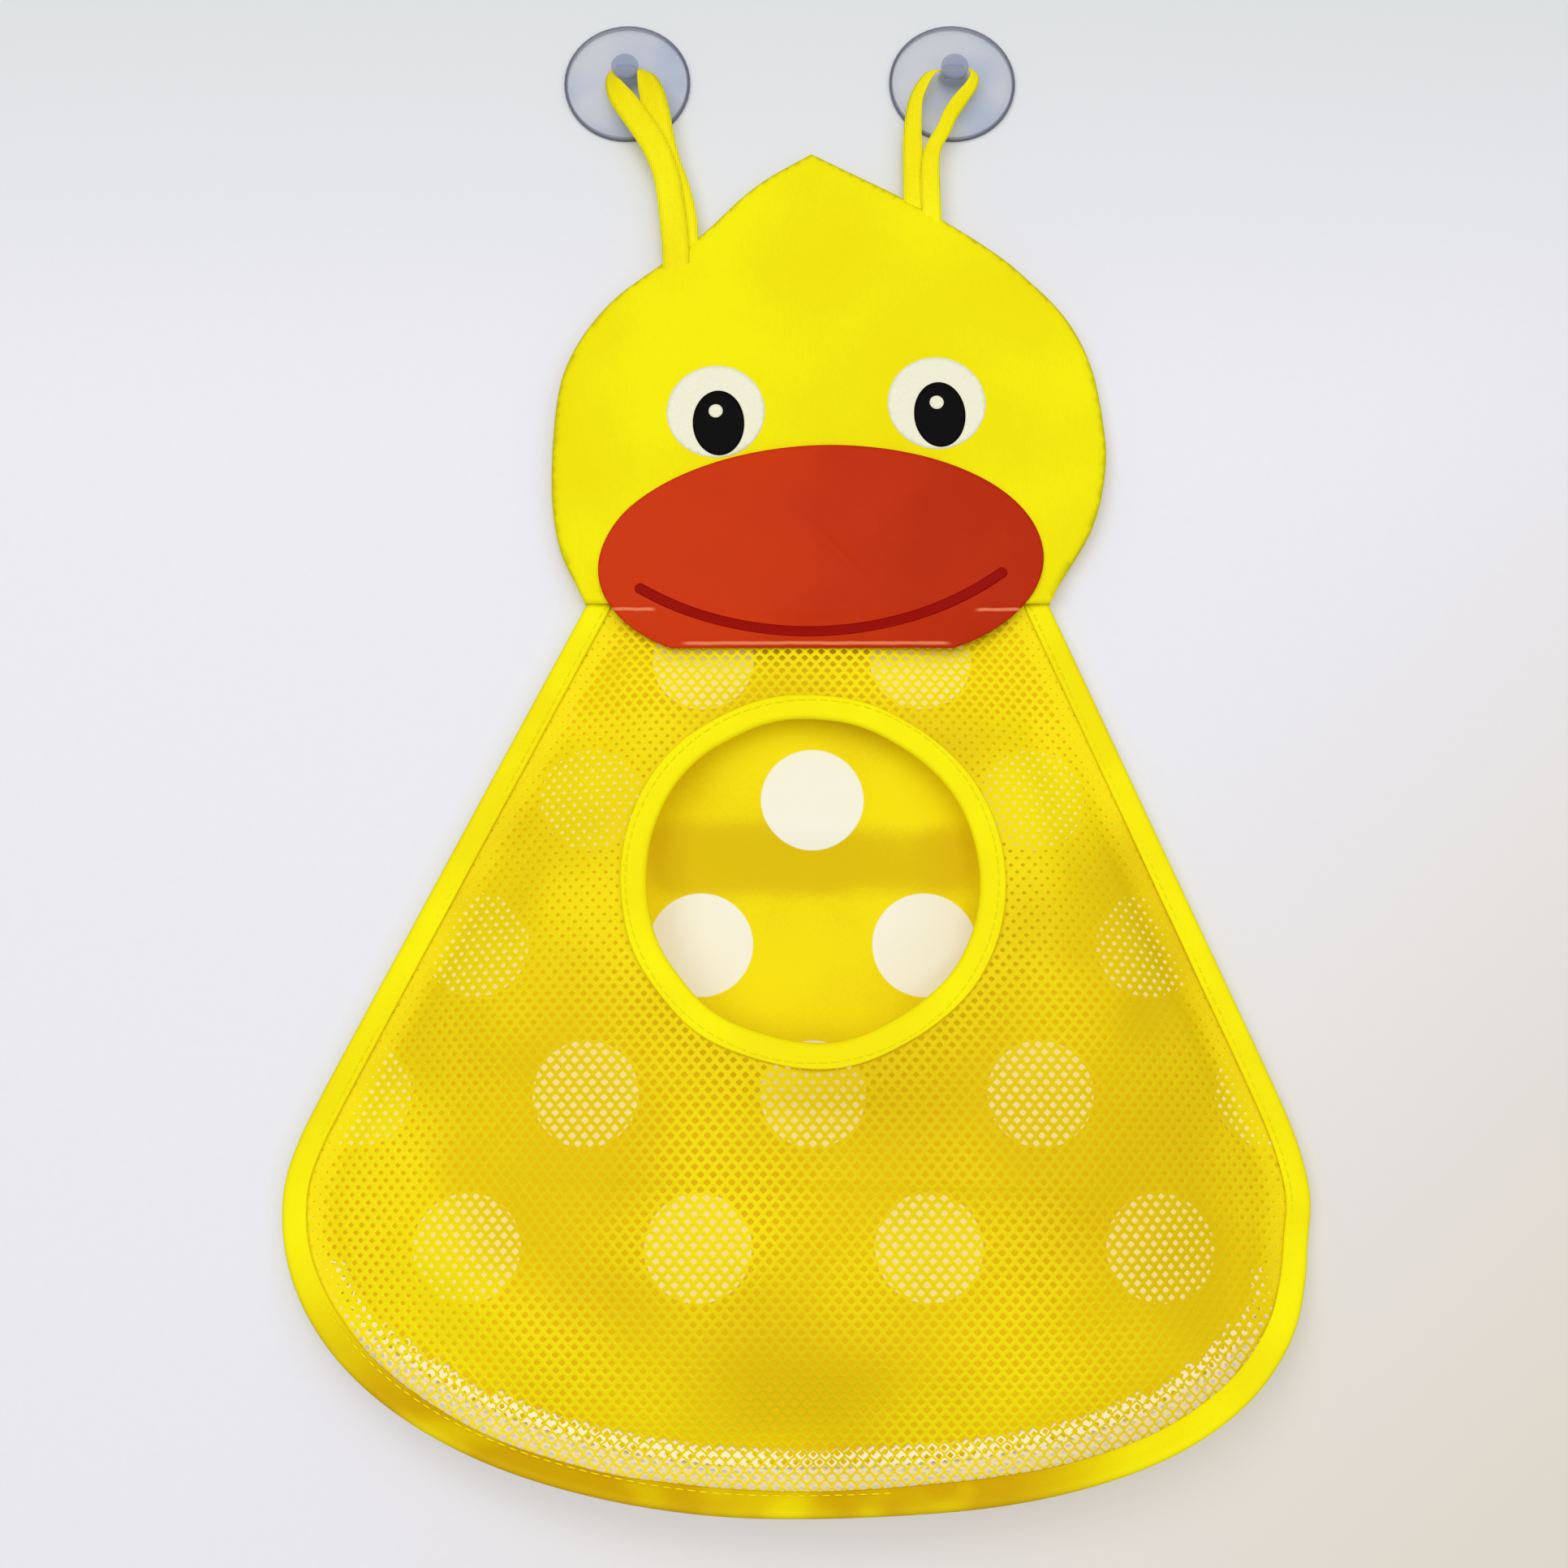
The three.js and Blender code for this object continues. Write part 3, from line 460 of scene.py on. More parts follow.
class FrontOf:
    """How far in front of the wall a CAD node's front lies, read from its solid and smoothed."""

    # Size of the grid's cells, cells round the node, passes of smoothing, where the rays start in
    # metres, and how many cells before the grid's last one a place may lie
    spacing = 2 * MM
    margin = 4
    passes = 6
    eye = -1.0
    last = 1.001

    def __init__(self, node):
        places, triangles = node_mesh(node)
        tree = BVHTree.FromPolygons(places.tolist(), triangles.tolist())
        lo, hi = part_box(node)
        self.x0, self.z0 = (v - self.margin * self.spacing for v in (lo.x, lo.z))
        columns = int((hi.x - self.x0) / self.spacing) + self.margin + 2
        rows = int((hi.z - self.z0) / self.spacing) + self.margin + 2
        depth = np.full((columns, rows), np.nan)
        for i in range(columns):
            for j in range(rows):
                across, up = self.x0 + i * self.spacing, self.z0 + j * self.spacing
                hit = tree.ray_cast(Vector((across, self.eye, up)), Vector((0, 1, 0)))
                if hit[0] is not None:
                    depth[i, j] = -hit[0].y
        while np.isnan(depth).any():
            near = self.neighbours(np.pad(depth, 1, constant_values=np.nan))
            total = sum(np.nan_to_num(cell) for cell in near)
            known = sum(~np.isnan(cell) * 1.0 for cell in near)
            filler = np.where(known > 0, total / np.maximum(known, 1), np.nan)
            depth = np.where(np.isnan(depth), filler, depth)
        for _ in range(self.passes):
            depth = sum(self.neighbours(np.pad(depth, 1, mode="edge"))) / 9
        self.depth = depth

    @staticmethod
    def neighbours(wide):
        """A padded grid as seen from each of nine cells round its own."""
        columns, rows = wide.shape[0] - 2, wide.shape[1] - 2
        return [wide[a : a + columns, b : b + rows] for a in range(3) for b in range(3)]

    def __call__(self, x, z):
        u = np.clip((x - self.x0) / self.spacing, 0, self.depth.shape[0] - self.last)
        v = np.clip((z - self.z0) / self.spacing, 0, self.depth.shape[1] - self.last)
        i, j = np.floor(u).astype(int), np.floor(v).astype(int)
        return in_cell(lambda a, b: self.depth[i + a, j + b], u - i, v - j)


def new_piece(name, places, faces, material, smooth=True):
    """A mesh object from arrays of vertices and faces."""
    mesh = bpy.data.meshes.new(name)
    faces = faces.tolist() if isinstance(faces, np.ndarray) else faces
    mesh.from_pydata(np.asarray(places, float).tolist(), [], faces)
    mesh.validate()
    mesh.update()
    obj = bpy.data.objects.new(name, mesh)
    bpy.context.scene.collection.objects.link(obj)
    mesh.materials.append(material)
    mesh.polygons.foreach_set("use_smooth", [smooth] * len(mesh.polygons))
    return obj


def sheet_piece(name, outline, spacing, depth, thickness, material):
    """A cloth of even thickness cut to a flat outline, whose front lies at depth(x, z)."""
    points, triangles = filled(outline, spacing)
    front = depth(points[:, 0], points[:, 1])
    places = np.stack([points[:, 0], -front, points[:, 1]], axis=1)
    return new_piece(name, *thickened(places, triangles, thickness), material)


def corner_normals(places, faces):
    """Unit normal at each vertex."""
    first, second, third = (places[faces[:, i]] for i in range(3))
    turns = np.cross(second - first, third - first)
    normals = np.zeros_like(places)
    for corner in faces.T:
        np.add.at(normals, corner, turns)
    return unit(normals)


def thickened(places, faces, thickness):
    """A closed cloth from its front, with a back one thickness behind it and a rim between."""
    faces = np.asarray(faces)
    normals = corner_normals(places, faces)
    if normals[:, 1].sum() > 0:
        faces, normals = faces[:, ::-1], -normals
    count = len(places)
    edges = np.stack([faces, np.roll(faces, -1, axis=1)], axis=2).reshape(-1, 2).tolist()
    known = {tuple(edge) for edge in edges}
    rim = [(start, end) for start, end in edges if (end, start) not in known]
    sides = [(end, start, start + count, end + count) for start, end in rim]
    back = (faces[:, ::-1] + count).tolist()
    return np.vstack([places, places - normals * thickness]), faces.tolist() + back + sides


def tube_faces(rings, corners, closed=False, base=0):
    """Faces between rings of vertices that follow one another, and an open tube's two ends."""
    faces = []
    for ring in range(rings if closed else rings - 1):
        here, there = base + ring * corners, base + (ring + 1) % rings * corners
        for i in range(corners):
            j = (i + 1) % corners
            faces.append((here + i, here + j, there + j, there + i))
    if not closed:
        last = base + (rings - 1) * corners
        faces.append(tuple(base + i for i in range(corners))[::-1])
        faces.append(tuple(last + i for i in range(corners)))
    return faces


def swept(name, sections, material, closed=False):
    """A band made of sections, each a ring of places, joined one after another."""
    faces = tube_faces(*sections.shape[:2], closed)
    obj = new_piece(name, sections.reshape(-1, 3), faces, material)
    outward(obj)
    return obj


def outward(obj):
    """Turns a closed mesh's faces outwards."""
    work = bmesh.new()
    work.from_mesh(obj.data)
    bmesh.ops.recalc_face_normals(work, faces=work.faces)
    work.to_mesh(obj.data)
    work.free()


def along_path(path):
    """Unit directions along a path."""
    return unit(np.gradient(path, axis=0))


# Shader maths


class Value:
    """A shader socket that takes Python arithmetic; each operation adds a Math node."""

    def __init__(self, shader, socket):
        self.shader = shader
        self.socket = socket

    def math(self, operation, *values):
        return self.shader.node("ShaderNodeMath", {"operation": operation}, *values)

    def __add__(self, other):
        return self.math("ADD", self, other)

    def __radd__(self, other):
        return self.math("ADD", other, self)

    def __sub__(self, other):
        return self.math("SUBTRACT", self, other)

    def __rsub__(self, other):
        return self.math("SUBTRACT", other, self)

    def __mul__(self, other):
        return self.math("MULTIPLY", self, other)

    def __rmul__(self, other):
        return self.math("MULTIPLY", other, self)

    def __truediv__(self, other):
        return self.math("DIVIDE", self, other)

    def __rtruediv__(self, other):
        return self.math("DIVIDE", other, self)

    def __abs__(self):
        return self.math("ABSOLUTE", self)

    def root(self):
        return self.math("SQRT", self)

    def sine(self):
        return self.math("SINE", self)

    def least(self, other):
        return self.math("MINIMUM", self, other)

    def most(self, other):
        return self.math("MAXIMUM", self, other)

    def wrapped(self, pitch):
        """Distance to the nearest multiple of a pitch."""
        return self.math("PINGPONG", self, pitch / 2)

    def step(self, low, high):
        """0 below low, 1 above high, smooth between."""
        smooth = {"interpolation_type": "SMOOTHSTEP"}
        return self.shader.node("ShaderNodeMapRange", smooth, self, low, high, 0.0, 1.0)


class Shader:
    """The nodes of a material, or of the world."""

    def __init__(self, owner, output="ShaderNodeOutputMaterial"):
        owner.use_nodes = True
        self.owner = owner
        self.output = output
        self.tree = owner.node_tree
        self.tree.nodes.clear()

    def node(self, kind, settings, *inputs, output=0, **named):
        """Adds a node: its settings first, then its sockets' values or links, in order or by name.

        Gives the named or numbered output, or all of them where output is None.
        """
        made = self.tree.nodes.new(kind)
        for key, value in settings.items():
            setattr(made, key, value)
        sockets = list(zip(made.inputs, inputs))
        sockets += [(made.inputs[key.replace("_", " ")], value) for key, value in named.items()]
        for socket, value in sockets:
            if isinstance(value, Value):
                self.tree.links.new(value.socket, socket)
            elif value is not None:
                socket.default_value = value
        if output is None:
            return [Value(self, socket) for socket in made.outputs]
        return Value(self, made.outputs[output])

    def show(self, surface):
        """Sends a surface to the output, and gives back what the nodes belong to."""
        self.node(self.output, {}, surface, output=None)
        return self.owner

    def coating(self, **inputs):
        """A surface with the given sockets."""
        return self.node("ShaderNodeBsdfPrincipled", {}, **inputs)

    def finish(self, **inputs):
        """Sends such a surface to the output, and gives back the material."""
        return self.show(self.coating(**inputs))

    def axes(self, vector):
        """The three parts of a vector."""
        return self.node("ShaderNodeSeparateXYZ", {}, vector, output=None)

    def place(self):
        """The piece's own place across and up, in millimetres."""
        across, _, up = self.axes(self.node("ShaderNodeTexCoord", {}, output="Object"))
        return across * (1 / MM), up * (1 / MM)

    def noise(self, scale, detail=2.0, roughness=0.5, stretch=(1, 1, 1)):
        """Cloudy value from 0 to 1; scale is in clouds per metre."""
        place = self.node("ShaderNodeTexCoord", {}, output="Object")
        place = self.node("ShaderNodeMapping", {}, place, Scale=stretch)
        solid = {"noise_dimensions": "3D"}
        spread = {"Scale": scale, "Detail": detail, "Roughness": roughness}
        return self.node("ShaderNodeTexNoise", solid, Vector=place, **spread)

    def mix(self, factor, first, second):
        """From the first colour at 0 to the second at 1; a colour is a link or 0 to 255."""
        ends = [end if isinstance(end, Value) else linear(end) for end in (first, second)]
        return self.node(
            "ShaderNodeMix", {"data_type": "RGBA"}, factor, *[None] * 5, *ends, output=2
        )

    def bump(self, height, distance):
        """Relief of the surface; distance is in metres for a height of 1."""
        return self.node("ShaderNodeBump", {}, Strength=1.0, Distance=distance, Height=height)


def linear(colour):
    """A screen colour, 0 to 255, as the shader wants it: the standard curve of screens undone."""
    shares = [c / 255 for c in colour]
    curve = [s / 12.92 if s <= 0.04045 else ((s + 0.055) / 1.055) ** 2.4 for s in shares]
    return (*curve, 1.0)


def new_shader(name):
    """An empty material under a name."""
    return Shader(bpy.data.materials.new(name))


def cloth_material(name, colour, thread, relief):
    """Thin plain-woven cloth: crossing threads, a millimetre value apart, and faint slubs."""
    shader = new_shader(name)
    across, up = shader.place()
    weave = (across * (math.tau / thread)).sine() + (up * (math.tau / thread)).sine()
    slubs = shader.noise(THREAD_NOISE, roughness=0.6, stretch=(1, 1, 0.3))
    cloudy = shader.noise(CLOUDS["cloth"])
    tone = (cloudy * 0.85 + slubs * 0.15).step(0.35, 0.65)
    return shader.finish(
        Base_Color=shader.mix(tone, SHADES[name], colour),
        Roughness=0.66 + slubs * 0.12,
        Specular_IOR_Level=CLOTH_SHINE,
        Normal=shader.bump(weave * 0.25 + slubs * 0.5, relief),
    )


def dotted_cloth(settings):
    """The back cloth: yellow, with round cream dots in staggered rows.

    The print shows weakly on the back. Outside the opening the net's shadow is painted on: the
    cloth darker and the dots tinted yellow; painted shade also lies along a fold's valley.
    """
    shader = new_shader("dotted back cloth")
    across, up = shader.place()
    half, row = settings.dot_pitch / MM / 2, settings.dot_row / MM
    dot_radius = settings.dot_diameter / MM / 2
    last = settings.dot_end / MM

    def dots(x, z):
        off_x = (across - (x - DOTS_BEFORE * half)).wrapped(2 * half)
        off_z = (up - (z - DOTS_BEFORE * row)).wrapped(2 * row)
        return (off_x * off_x + off_z * off_z).root()

    first_x, first_z = settings.dot_start
    distance = dots(first_x, first_z).least(dots(first_x - half, first_z - row))
    facing = shader.axes(shader.node("ShaderNodeNewGeometry", {}, output="Normal"))[1]
    face = (facing * -1).step(-0.1, 0.1)
    dot = 1 - distance.step(dot_radius - DOT_BLUR, dot_radius + DOT_BLUR)
    dot = dot * up.step(last - DOT_END_BLUR, last) * (0.3 + face * 0.7)
    # Painted shade across the cloth along the fold's valley inside the opening
    fold_shade = 1 - abs(up - FOLD_SHADE_UP).step(*FOLD_SHADE_HEIGHT)
    fold_shade = fold_shade * (1 - abs(across - FOLD_SHADE_ACROSS).step(*FOLD_SHADE_WIDTH)) * face
    slubs = shader.noise(THREAD_NOISE, roughness=0.6)
    cloudy = shader.noise(CLOUDS["back"])
    tone = (cloudy * 0.85 + slubs * 0.15 - fold_shade * 0.4).step(0.2, 0.65)
    ground = shader.mix(tone, SHADES["back"], settings.rgb("back"))
    # Painted shadow of the net: outside the opening the cloth is darker and the dots are tinted
    # yellow
    (middle_x, middle_z), ring_radius = ring_circle()
    aside, above = across - middle_x / MM, up - middle_z / MM
    from_middle = (aside * aside + above * above).root()
    net_shadow = from_middle.step(ring_radius / MM - 4, ring_radius / MM) * face
    ground = shader.mix(net_shadow * 0.5, ground, SHADES["back in painted net shadow"])
    dot_tone_in_net_shadow = shader.mix(net_shadow, settings.rgb("dot"), SHADES["dot in painted net shadow"])
    return shader.finish(
        Base_Color=shader.mix(dot, ground, dot_tone_in_net_shadow),
        Roughness=0.6,
        Specular_IOR_Level=CLOTH_SHINE,
        Normal=shader.bump(slubs, 0.03 * MM),
    )


def net_material(name, colour):
    """Knitted polyester net: soft, slightly shiny strands, with painted light at the neck and low
    left.
    """
    shader = new_shader(name)
    strands = shader.noise(STRAND_NOISE, roughness=0.6)
    cloudy = shader.noise(CLOUDS["net"], detail=2.5)
    across, up = shader.place()
    # Painted light: the net is lighter at the neck and towards the low left
    pale = up.step(*NET_LIT_NECK) + (across * -0.6 - up).step(*NET_LIT_LOW_LEFT)
    tone = (cloudy * 0.9 + strands * 0.1 + pale * 0.2).step(0.34, 0.64)
    return shader.finish(
        Base_Color=shader.mix(tone, SHADES[name], colour),
        Roughness=0.55,
        Specular_IOR_Level=0.08,
        Normal=shader.bump(strands, 0.05 * MM),
    )


def tape_material(name, colour):
    """Folded binding tape with fine ribs, and painted shade where it turns under the bag."""
    shader = new_shader(name)
    across, up = shader.place()
    wave = math.tau / 0.9
    ribs = ((across + up) * wave).sine() * ((across - up) * wave).sine()
    cloudy = shader.noise(CLOUDS["tape"])
    ground = shader.mix(cloudy.step(0.3, 0.7), SHADES[name], colour)
    # Painted shade where the tape turns under the bag, in cloudy patches, short of its right end
    patches = 1.12 - cloudy.step(0.44, 0.7) * 0.75
    under = (up * -1).step(*SHADE_UNDER_BAG) * (1 - across.step(*SHADE_RIGHT_END)) * patches
    return shader.finish(
        Base_Color=shader.mix(under, ground, SHADES["painted tape shade under the bag"]),
        Roughness=0.6,
        Specular_IOR_Level=CLOTH_SHINE,
        Normal=shader.bump(ribs * 0.4 + cloudy, 0.06 * MM),
    )


def vinyl_material(settings):
    """The beak's coated cloth: orange red, smooth, and paler along its folds from wear and a
    painted highlight.
    """
    shader = new_shader("beak vinyl")
    across, up = shader.place()
    creased = shader.noise(CLOUDS["vinyl"], detail=4.0, roughness=0.55)
    grain = shader.noise(VINYL_NOISE)
    tone = (across * 0.009 + creased * 0.9).step(0.1, 1.1)
    ground = shader.mix(tone, SHADES["beak"], settings.rgb("beak"))
    # Paler marks at the crease's ends and along the hem: wear, and a painted highlight on the
    # folds
    off = abs(across - flap_middle() / MM)
    waver = (shader.noise(160) - 0.5) * 2.4
    crease = 1 - abs(up - CREASE_UP / MM + waver * 0.4).step(0.2, 0.75)
    hem = 1 - abs(up - HEM_UP / MM + waver * 0.25).step(0.25, 0.8)
    wear_and_highlight = crease * (off + waver).step(*CREASE_WEAR_AND_HIGHLIGHT) + hem * (1 - off.step(*HEM_WEAR_AND_HIGHLIGHT))
    return shader.finish(
        Base_Color=shader.mix(wear_and_highlight * 0.75, ground, SHADES["beak wear and highlight"]),
        Roughness=0.42 + grain * 0.1,
        Specular_IOR_Level=0.07,
        Normal=shader.bump(creased * 0.7 + grain * 0.06, 0.5 * MM),
    )


def ink_material(name, colour, roughness=0.4):
    """Printed film with a trace of the cloth's grain."""
    shader = new_shader(name)
    grain = shader.noise(PRINT_NOISE)
    darker = tuple(c * 0.98 for c in colour)
    return shader.finish(
        Base_Color=shader.mix(grain.step(0.3, 0.7), darker, colour),
        Roughness=roughness,
        Specular_IOR_Level=PRINT_SHINE,
        Normal=shader.bump(grain, 0.01 * MM),
    )


def cup_material(side, settings):
    """Clear soft plastic: pale blue grey over the wall, darker in the thick hub and at the rim."""
    shader = new_shader(f"cup plastic {side}")
    lo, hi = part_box(f"suction_cup_{side}")
    middle, radius = (lo + hi) / 2 / MM, (hi.z - lo.z) / 2 / MM
    across, up = shader.place()
    off_x, off_z = across - middle.x, up - middle.z
    out = (off_x * off_x + off_z * off_z).root() / radius
    cloudy = shader.noise(CLOUDS["cup"]).step(0.35, 0.65)
    rim, hub = out.step(0.935, 0.965), 1 - out.step(0.2, 0.27)
    body = shader.mix(cloudy, settings.rgb("cup"), SHADES["cup"])
    body = shader.mix(hub, body, SHADES["cup hub"])
    return shader.finish(
        Base_Color=shader.mix(rim, body, SHADES["cup rim"]),
        Roughness=0.2,
        IOR=1.42,
        Specular_IOR_Level=0.3,
        Alpha=0.26 + rim * 0.34 + hub * 0.2,
        Normal=shader.bump(cloudy, 0.1 * MM),
    )


# Sizes and colours that a user may change


def size_property(name, description, default, least=0.0):
    return bpy.props.FloatProperty(
        name=name,
        description=description,
        default=default,
        min=least,
        precision=5,
        unit="LENGTH",
        subtype="DISTANCE",
    )


def colour_property(name, description, default):
    return bpy.props.FloatVectorProperty(
        name=name,
        description=description,
        default=[c / 255 for c in default],
        min=0,
        max=1,
        size=3,
        subtype="COLOR_GAMMA",
    )


class ToyBagSettings(bpy.types.PropertyGroup):
    """Sizes and colours of the bag's pieces."""

    net_pitch: size_property("Net pitch", "Distance between holes along a row", 3.6 * MM)
    net_row: size_property("Net row", "Distance between rows of holes", 2.2 * MM)
    net_hole_share: bpy.props.FloatProperty(
        name="Hole share",
        description="Width of a hole as a share of its cell",
        default=0.5,
        min=0.1,
        max=0.9,
    )
    strand_depth: size_property("Strand depth", "Thickness of the net's strands", 0.6 * MM)
    cloth: size_property("Cloth", "Thickness of the cloths", 0.45 * MM)
    dot_diameter: size_property("Dot diameter", "Diameter of the printed dots", 32.6 * MM)
    dot_pitch: size_property("Dot pitch", "Distance between dots in a row", 70 * MM)
    dot_row: size_property("Dot row", "Distance between rows of dots", 46 * MM)
    dot_start: bpy.props.FloatVectorProperty(
        name="Dot start",
        description="Place of one dot across and up, in millimetres",
        default=(7, -253),
        size=2,
    )
    dot_end: size_property("Dot end", "Level below which the cloth has no dots", -415 * MM, -10.0)
    tape_width: size_property("Tape width", "Width of the edge binding tape", 7.7 * MM)
    ring_width: size_property("Ring width", "Width of the opening's binding tape", 7.9 * MM)
    ribbon_width: size_property("Ribbon width", "Width of the hanging ribbons", 8.6 * MM)
    stitch: size_property("Stitch", "Length of one stitch", 2.6 * MM)
    head_colour: colour_property("Head", "Colour of the head cloth", (247, 238, 10))
    back_colour: colour_property("Back", "Colour of the back cloth", (243, 224, 10))
    dot_colour: colour_property("Dots", "Colour of the dots", (243, 240, 220))
    net_colour: colour_property("Net", "Colour of the front net", (246, 226, 8))
    floor_colour: colour_property("Floor net", "Colour of the net floor", (252, 248, 224))
    tape_colour: colour_property("Tape", "Colour of the binding tapes", (252, 243, 8))
    ribbon_colour: colour_property("Ribbon", "Colour of the ribbons", (252, 242, 24))
    beak_colour: colour_property("Beak", "Colour of the beak", (180, 40, 0))
    mouth_colour: colour_property("Mouth", "Colour of the mouth line", (150, 13, 4))
    eye_colour: colour_property("Eye", "Colour of the eye whites", (240, 237, 211))
    cup_colour: colour_property("Cup", "Colour of the suction cups", (172, 186, 216))
    wall_colour: colour_property("Wall", "Colour of the wall", (235, 234, 239))

    def rgb(self, key):
        """A colour, 0 to 255."""
        return tuple(c * 255 for c in getattr(self, f"{key}_colour"))


def settings_of(context):
    """The scene's sizes and colours of the bag."""
    return context.scene.toy_bag


# Pieces


def head_depth(x, z):
    """Front of the head cloth: a flat print cloth with the soft folds of the photograph."""
    base = -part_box("head_panel")[0].y
    return base + swell(x, z, HEAD_SWELL) + folds(x, z, HEAD_FOLDS)


def beak_depth(x, z):
    """Front of the beak: domed a little, and free of the head below the crease."""
    base = -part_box("beak_upper")[0].y
    below = np.clip((CREASE_UP - z) / FLAP_HEIGHT, 0, 1.2)
    hang = (-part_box("beak_flap")[0].y - base - CLOTH_GAP) * below
    free = base + BEAK_LIFT + swell(x, z, BEAK_SWELL) + folds(x, z, BEAK_FOLDS) + hang
    on_head = head_depth(x, z) + BEAK_OVER_HEAD
    return np.maximum(free, np.where(z > NECK_UP, on_head, free))


def flat_loop(node, spacing, facing=FACING):
    """The longest front outline of a CAD node, across and up, smoothed."""
    return smoothed(front_loops(node, facing)[0][:, [0, 2]], spacing)


def flat_area(outline):
    """Area inside a flat outline."""
    x, z = outline[:, 0], outline[:, 1]
    return float(abs(np.sum(x * np.roll(z, -1) - z * np.roll(x, -1))) / 2)


class TOYBAG_OT_back(bpy.types.Operator):
    """Dotted back cloth behind the head and the net."""

    bl_idname = "toybag.back"
    bl_label = "Back cloth"

    # Height below the neck over which the cloth comes loose, and how far it lies forward
    loosening = 120 * MM
    forward = 0.2 * MM

    def execute(self, context):
        settings = settings_of(context)
        outline = flat_loop("back_panel", CLOTH_OUTLINE)
        lo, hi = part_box("back_panel")

        def depth(x, z):
            loose = np.clip((NECK_UP - z) / self.loosening, 0, 1)
            waves = swell(x, z, BACK_SWELL) + folds(x, z, BACK_FOLDS)
            return -lo.y - self.forward + loose * waves

        material = dotted_cloth(settings)
        back = sheet_piece("back_cloth", outline, BACK_SPACING, depth, settings.cloth, material)
        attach(back, BAG)
        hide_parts("back_panel")
        flat_area(outline)
        return {"FINISHED"}


def net_mesh(cells, shares, settings, surface):
    """Strands round staggered six-sided holes, thickest along their middle lines.

    shares holds each hole's width as a share of its cell, and surface turns flat places into
    places in space and directions square to the net there.
    """
    pitch, row = settings.net_pitch, settings.net_row
    rise = (row**2 - pitch**2 / 4) / (2 * row)
    wide, tall = pitch / 2, row - rise
    corners = [(wide, rise), (0, tall), (-wide, rise), (-wide, -rise), (0, -tall), (wide, -rise)]
    corners = np.array(corners)
    outer = (cells[:, None, :] + corners).reshape(-1, 2)
    key = np.round(outer / CELL_JOIN).astype(np.int64)
    _, first, index = np.unique(key, axis=0, return_index=True, return_inverse=True)
    index = index.reshape(-1, CELL_CORNERS)
    ridge, forward = surface(outer[first])
    shrunk = corners * np.reshape(shares, (-1, 1, 1))
    holes, _ = surface((cells[:, None, :] + shrunk).reshape(-1, 2))
    half = forward * settings.strand_depth / 2
    count = len(ridge)
    places = np.vstack([ridge + half, ridge - half, holes])
    hole = 2 * count + np.arange(len(holes)).reshape(-1, CELL_CORNERS)
    following, hole_next = np.roll(index, -1, axis=1), np.roll(hole, -1, axis=1)
    faces = []
    for a, b, c, d in zip(index.T, following.T, hole_next.T, hole.T):
        faces.append(np.stack([a, d, c, b], axis=1))
        faces.append(np.stack([a + count, b + count, c, d], axis=1))
    edges = np.stack([index.ravel(), following.ravel()], axis=1)
    _, which, times = np.unique(
        np.sort(edges, axis=1), axis=0, return_index=True, return_counts=True
    )
    start, end = edges[which[times == 1]].T
    faces.append(np.stack([start, end, end + count, start + count], axis=1))
    return places, np.vstack(faces)


def finish_net(net, count):
    """Keeps the rims of a net's holes sharp, and lets the lamps through its thin strands."""
    net.visible_shadow = False
    mesh = net.data
    first = len(mesh.vertices) - CELL_CORNERS * count
    ends = np.empty(2 * len(mesh.edges), np.int32)
    mesh.edges.foreach_get("vertices", ends)
    sharp = (ends.reshape(-1, 2) >= first).all(axis=1)
    mesh.attributes.new("sharp_edge", "BOOLEAN", "EDGE").data.foreach_set("value", sharp)
    mesh.update()


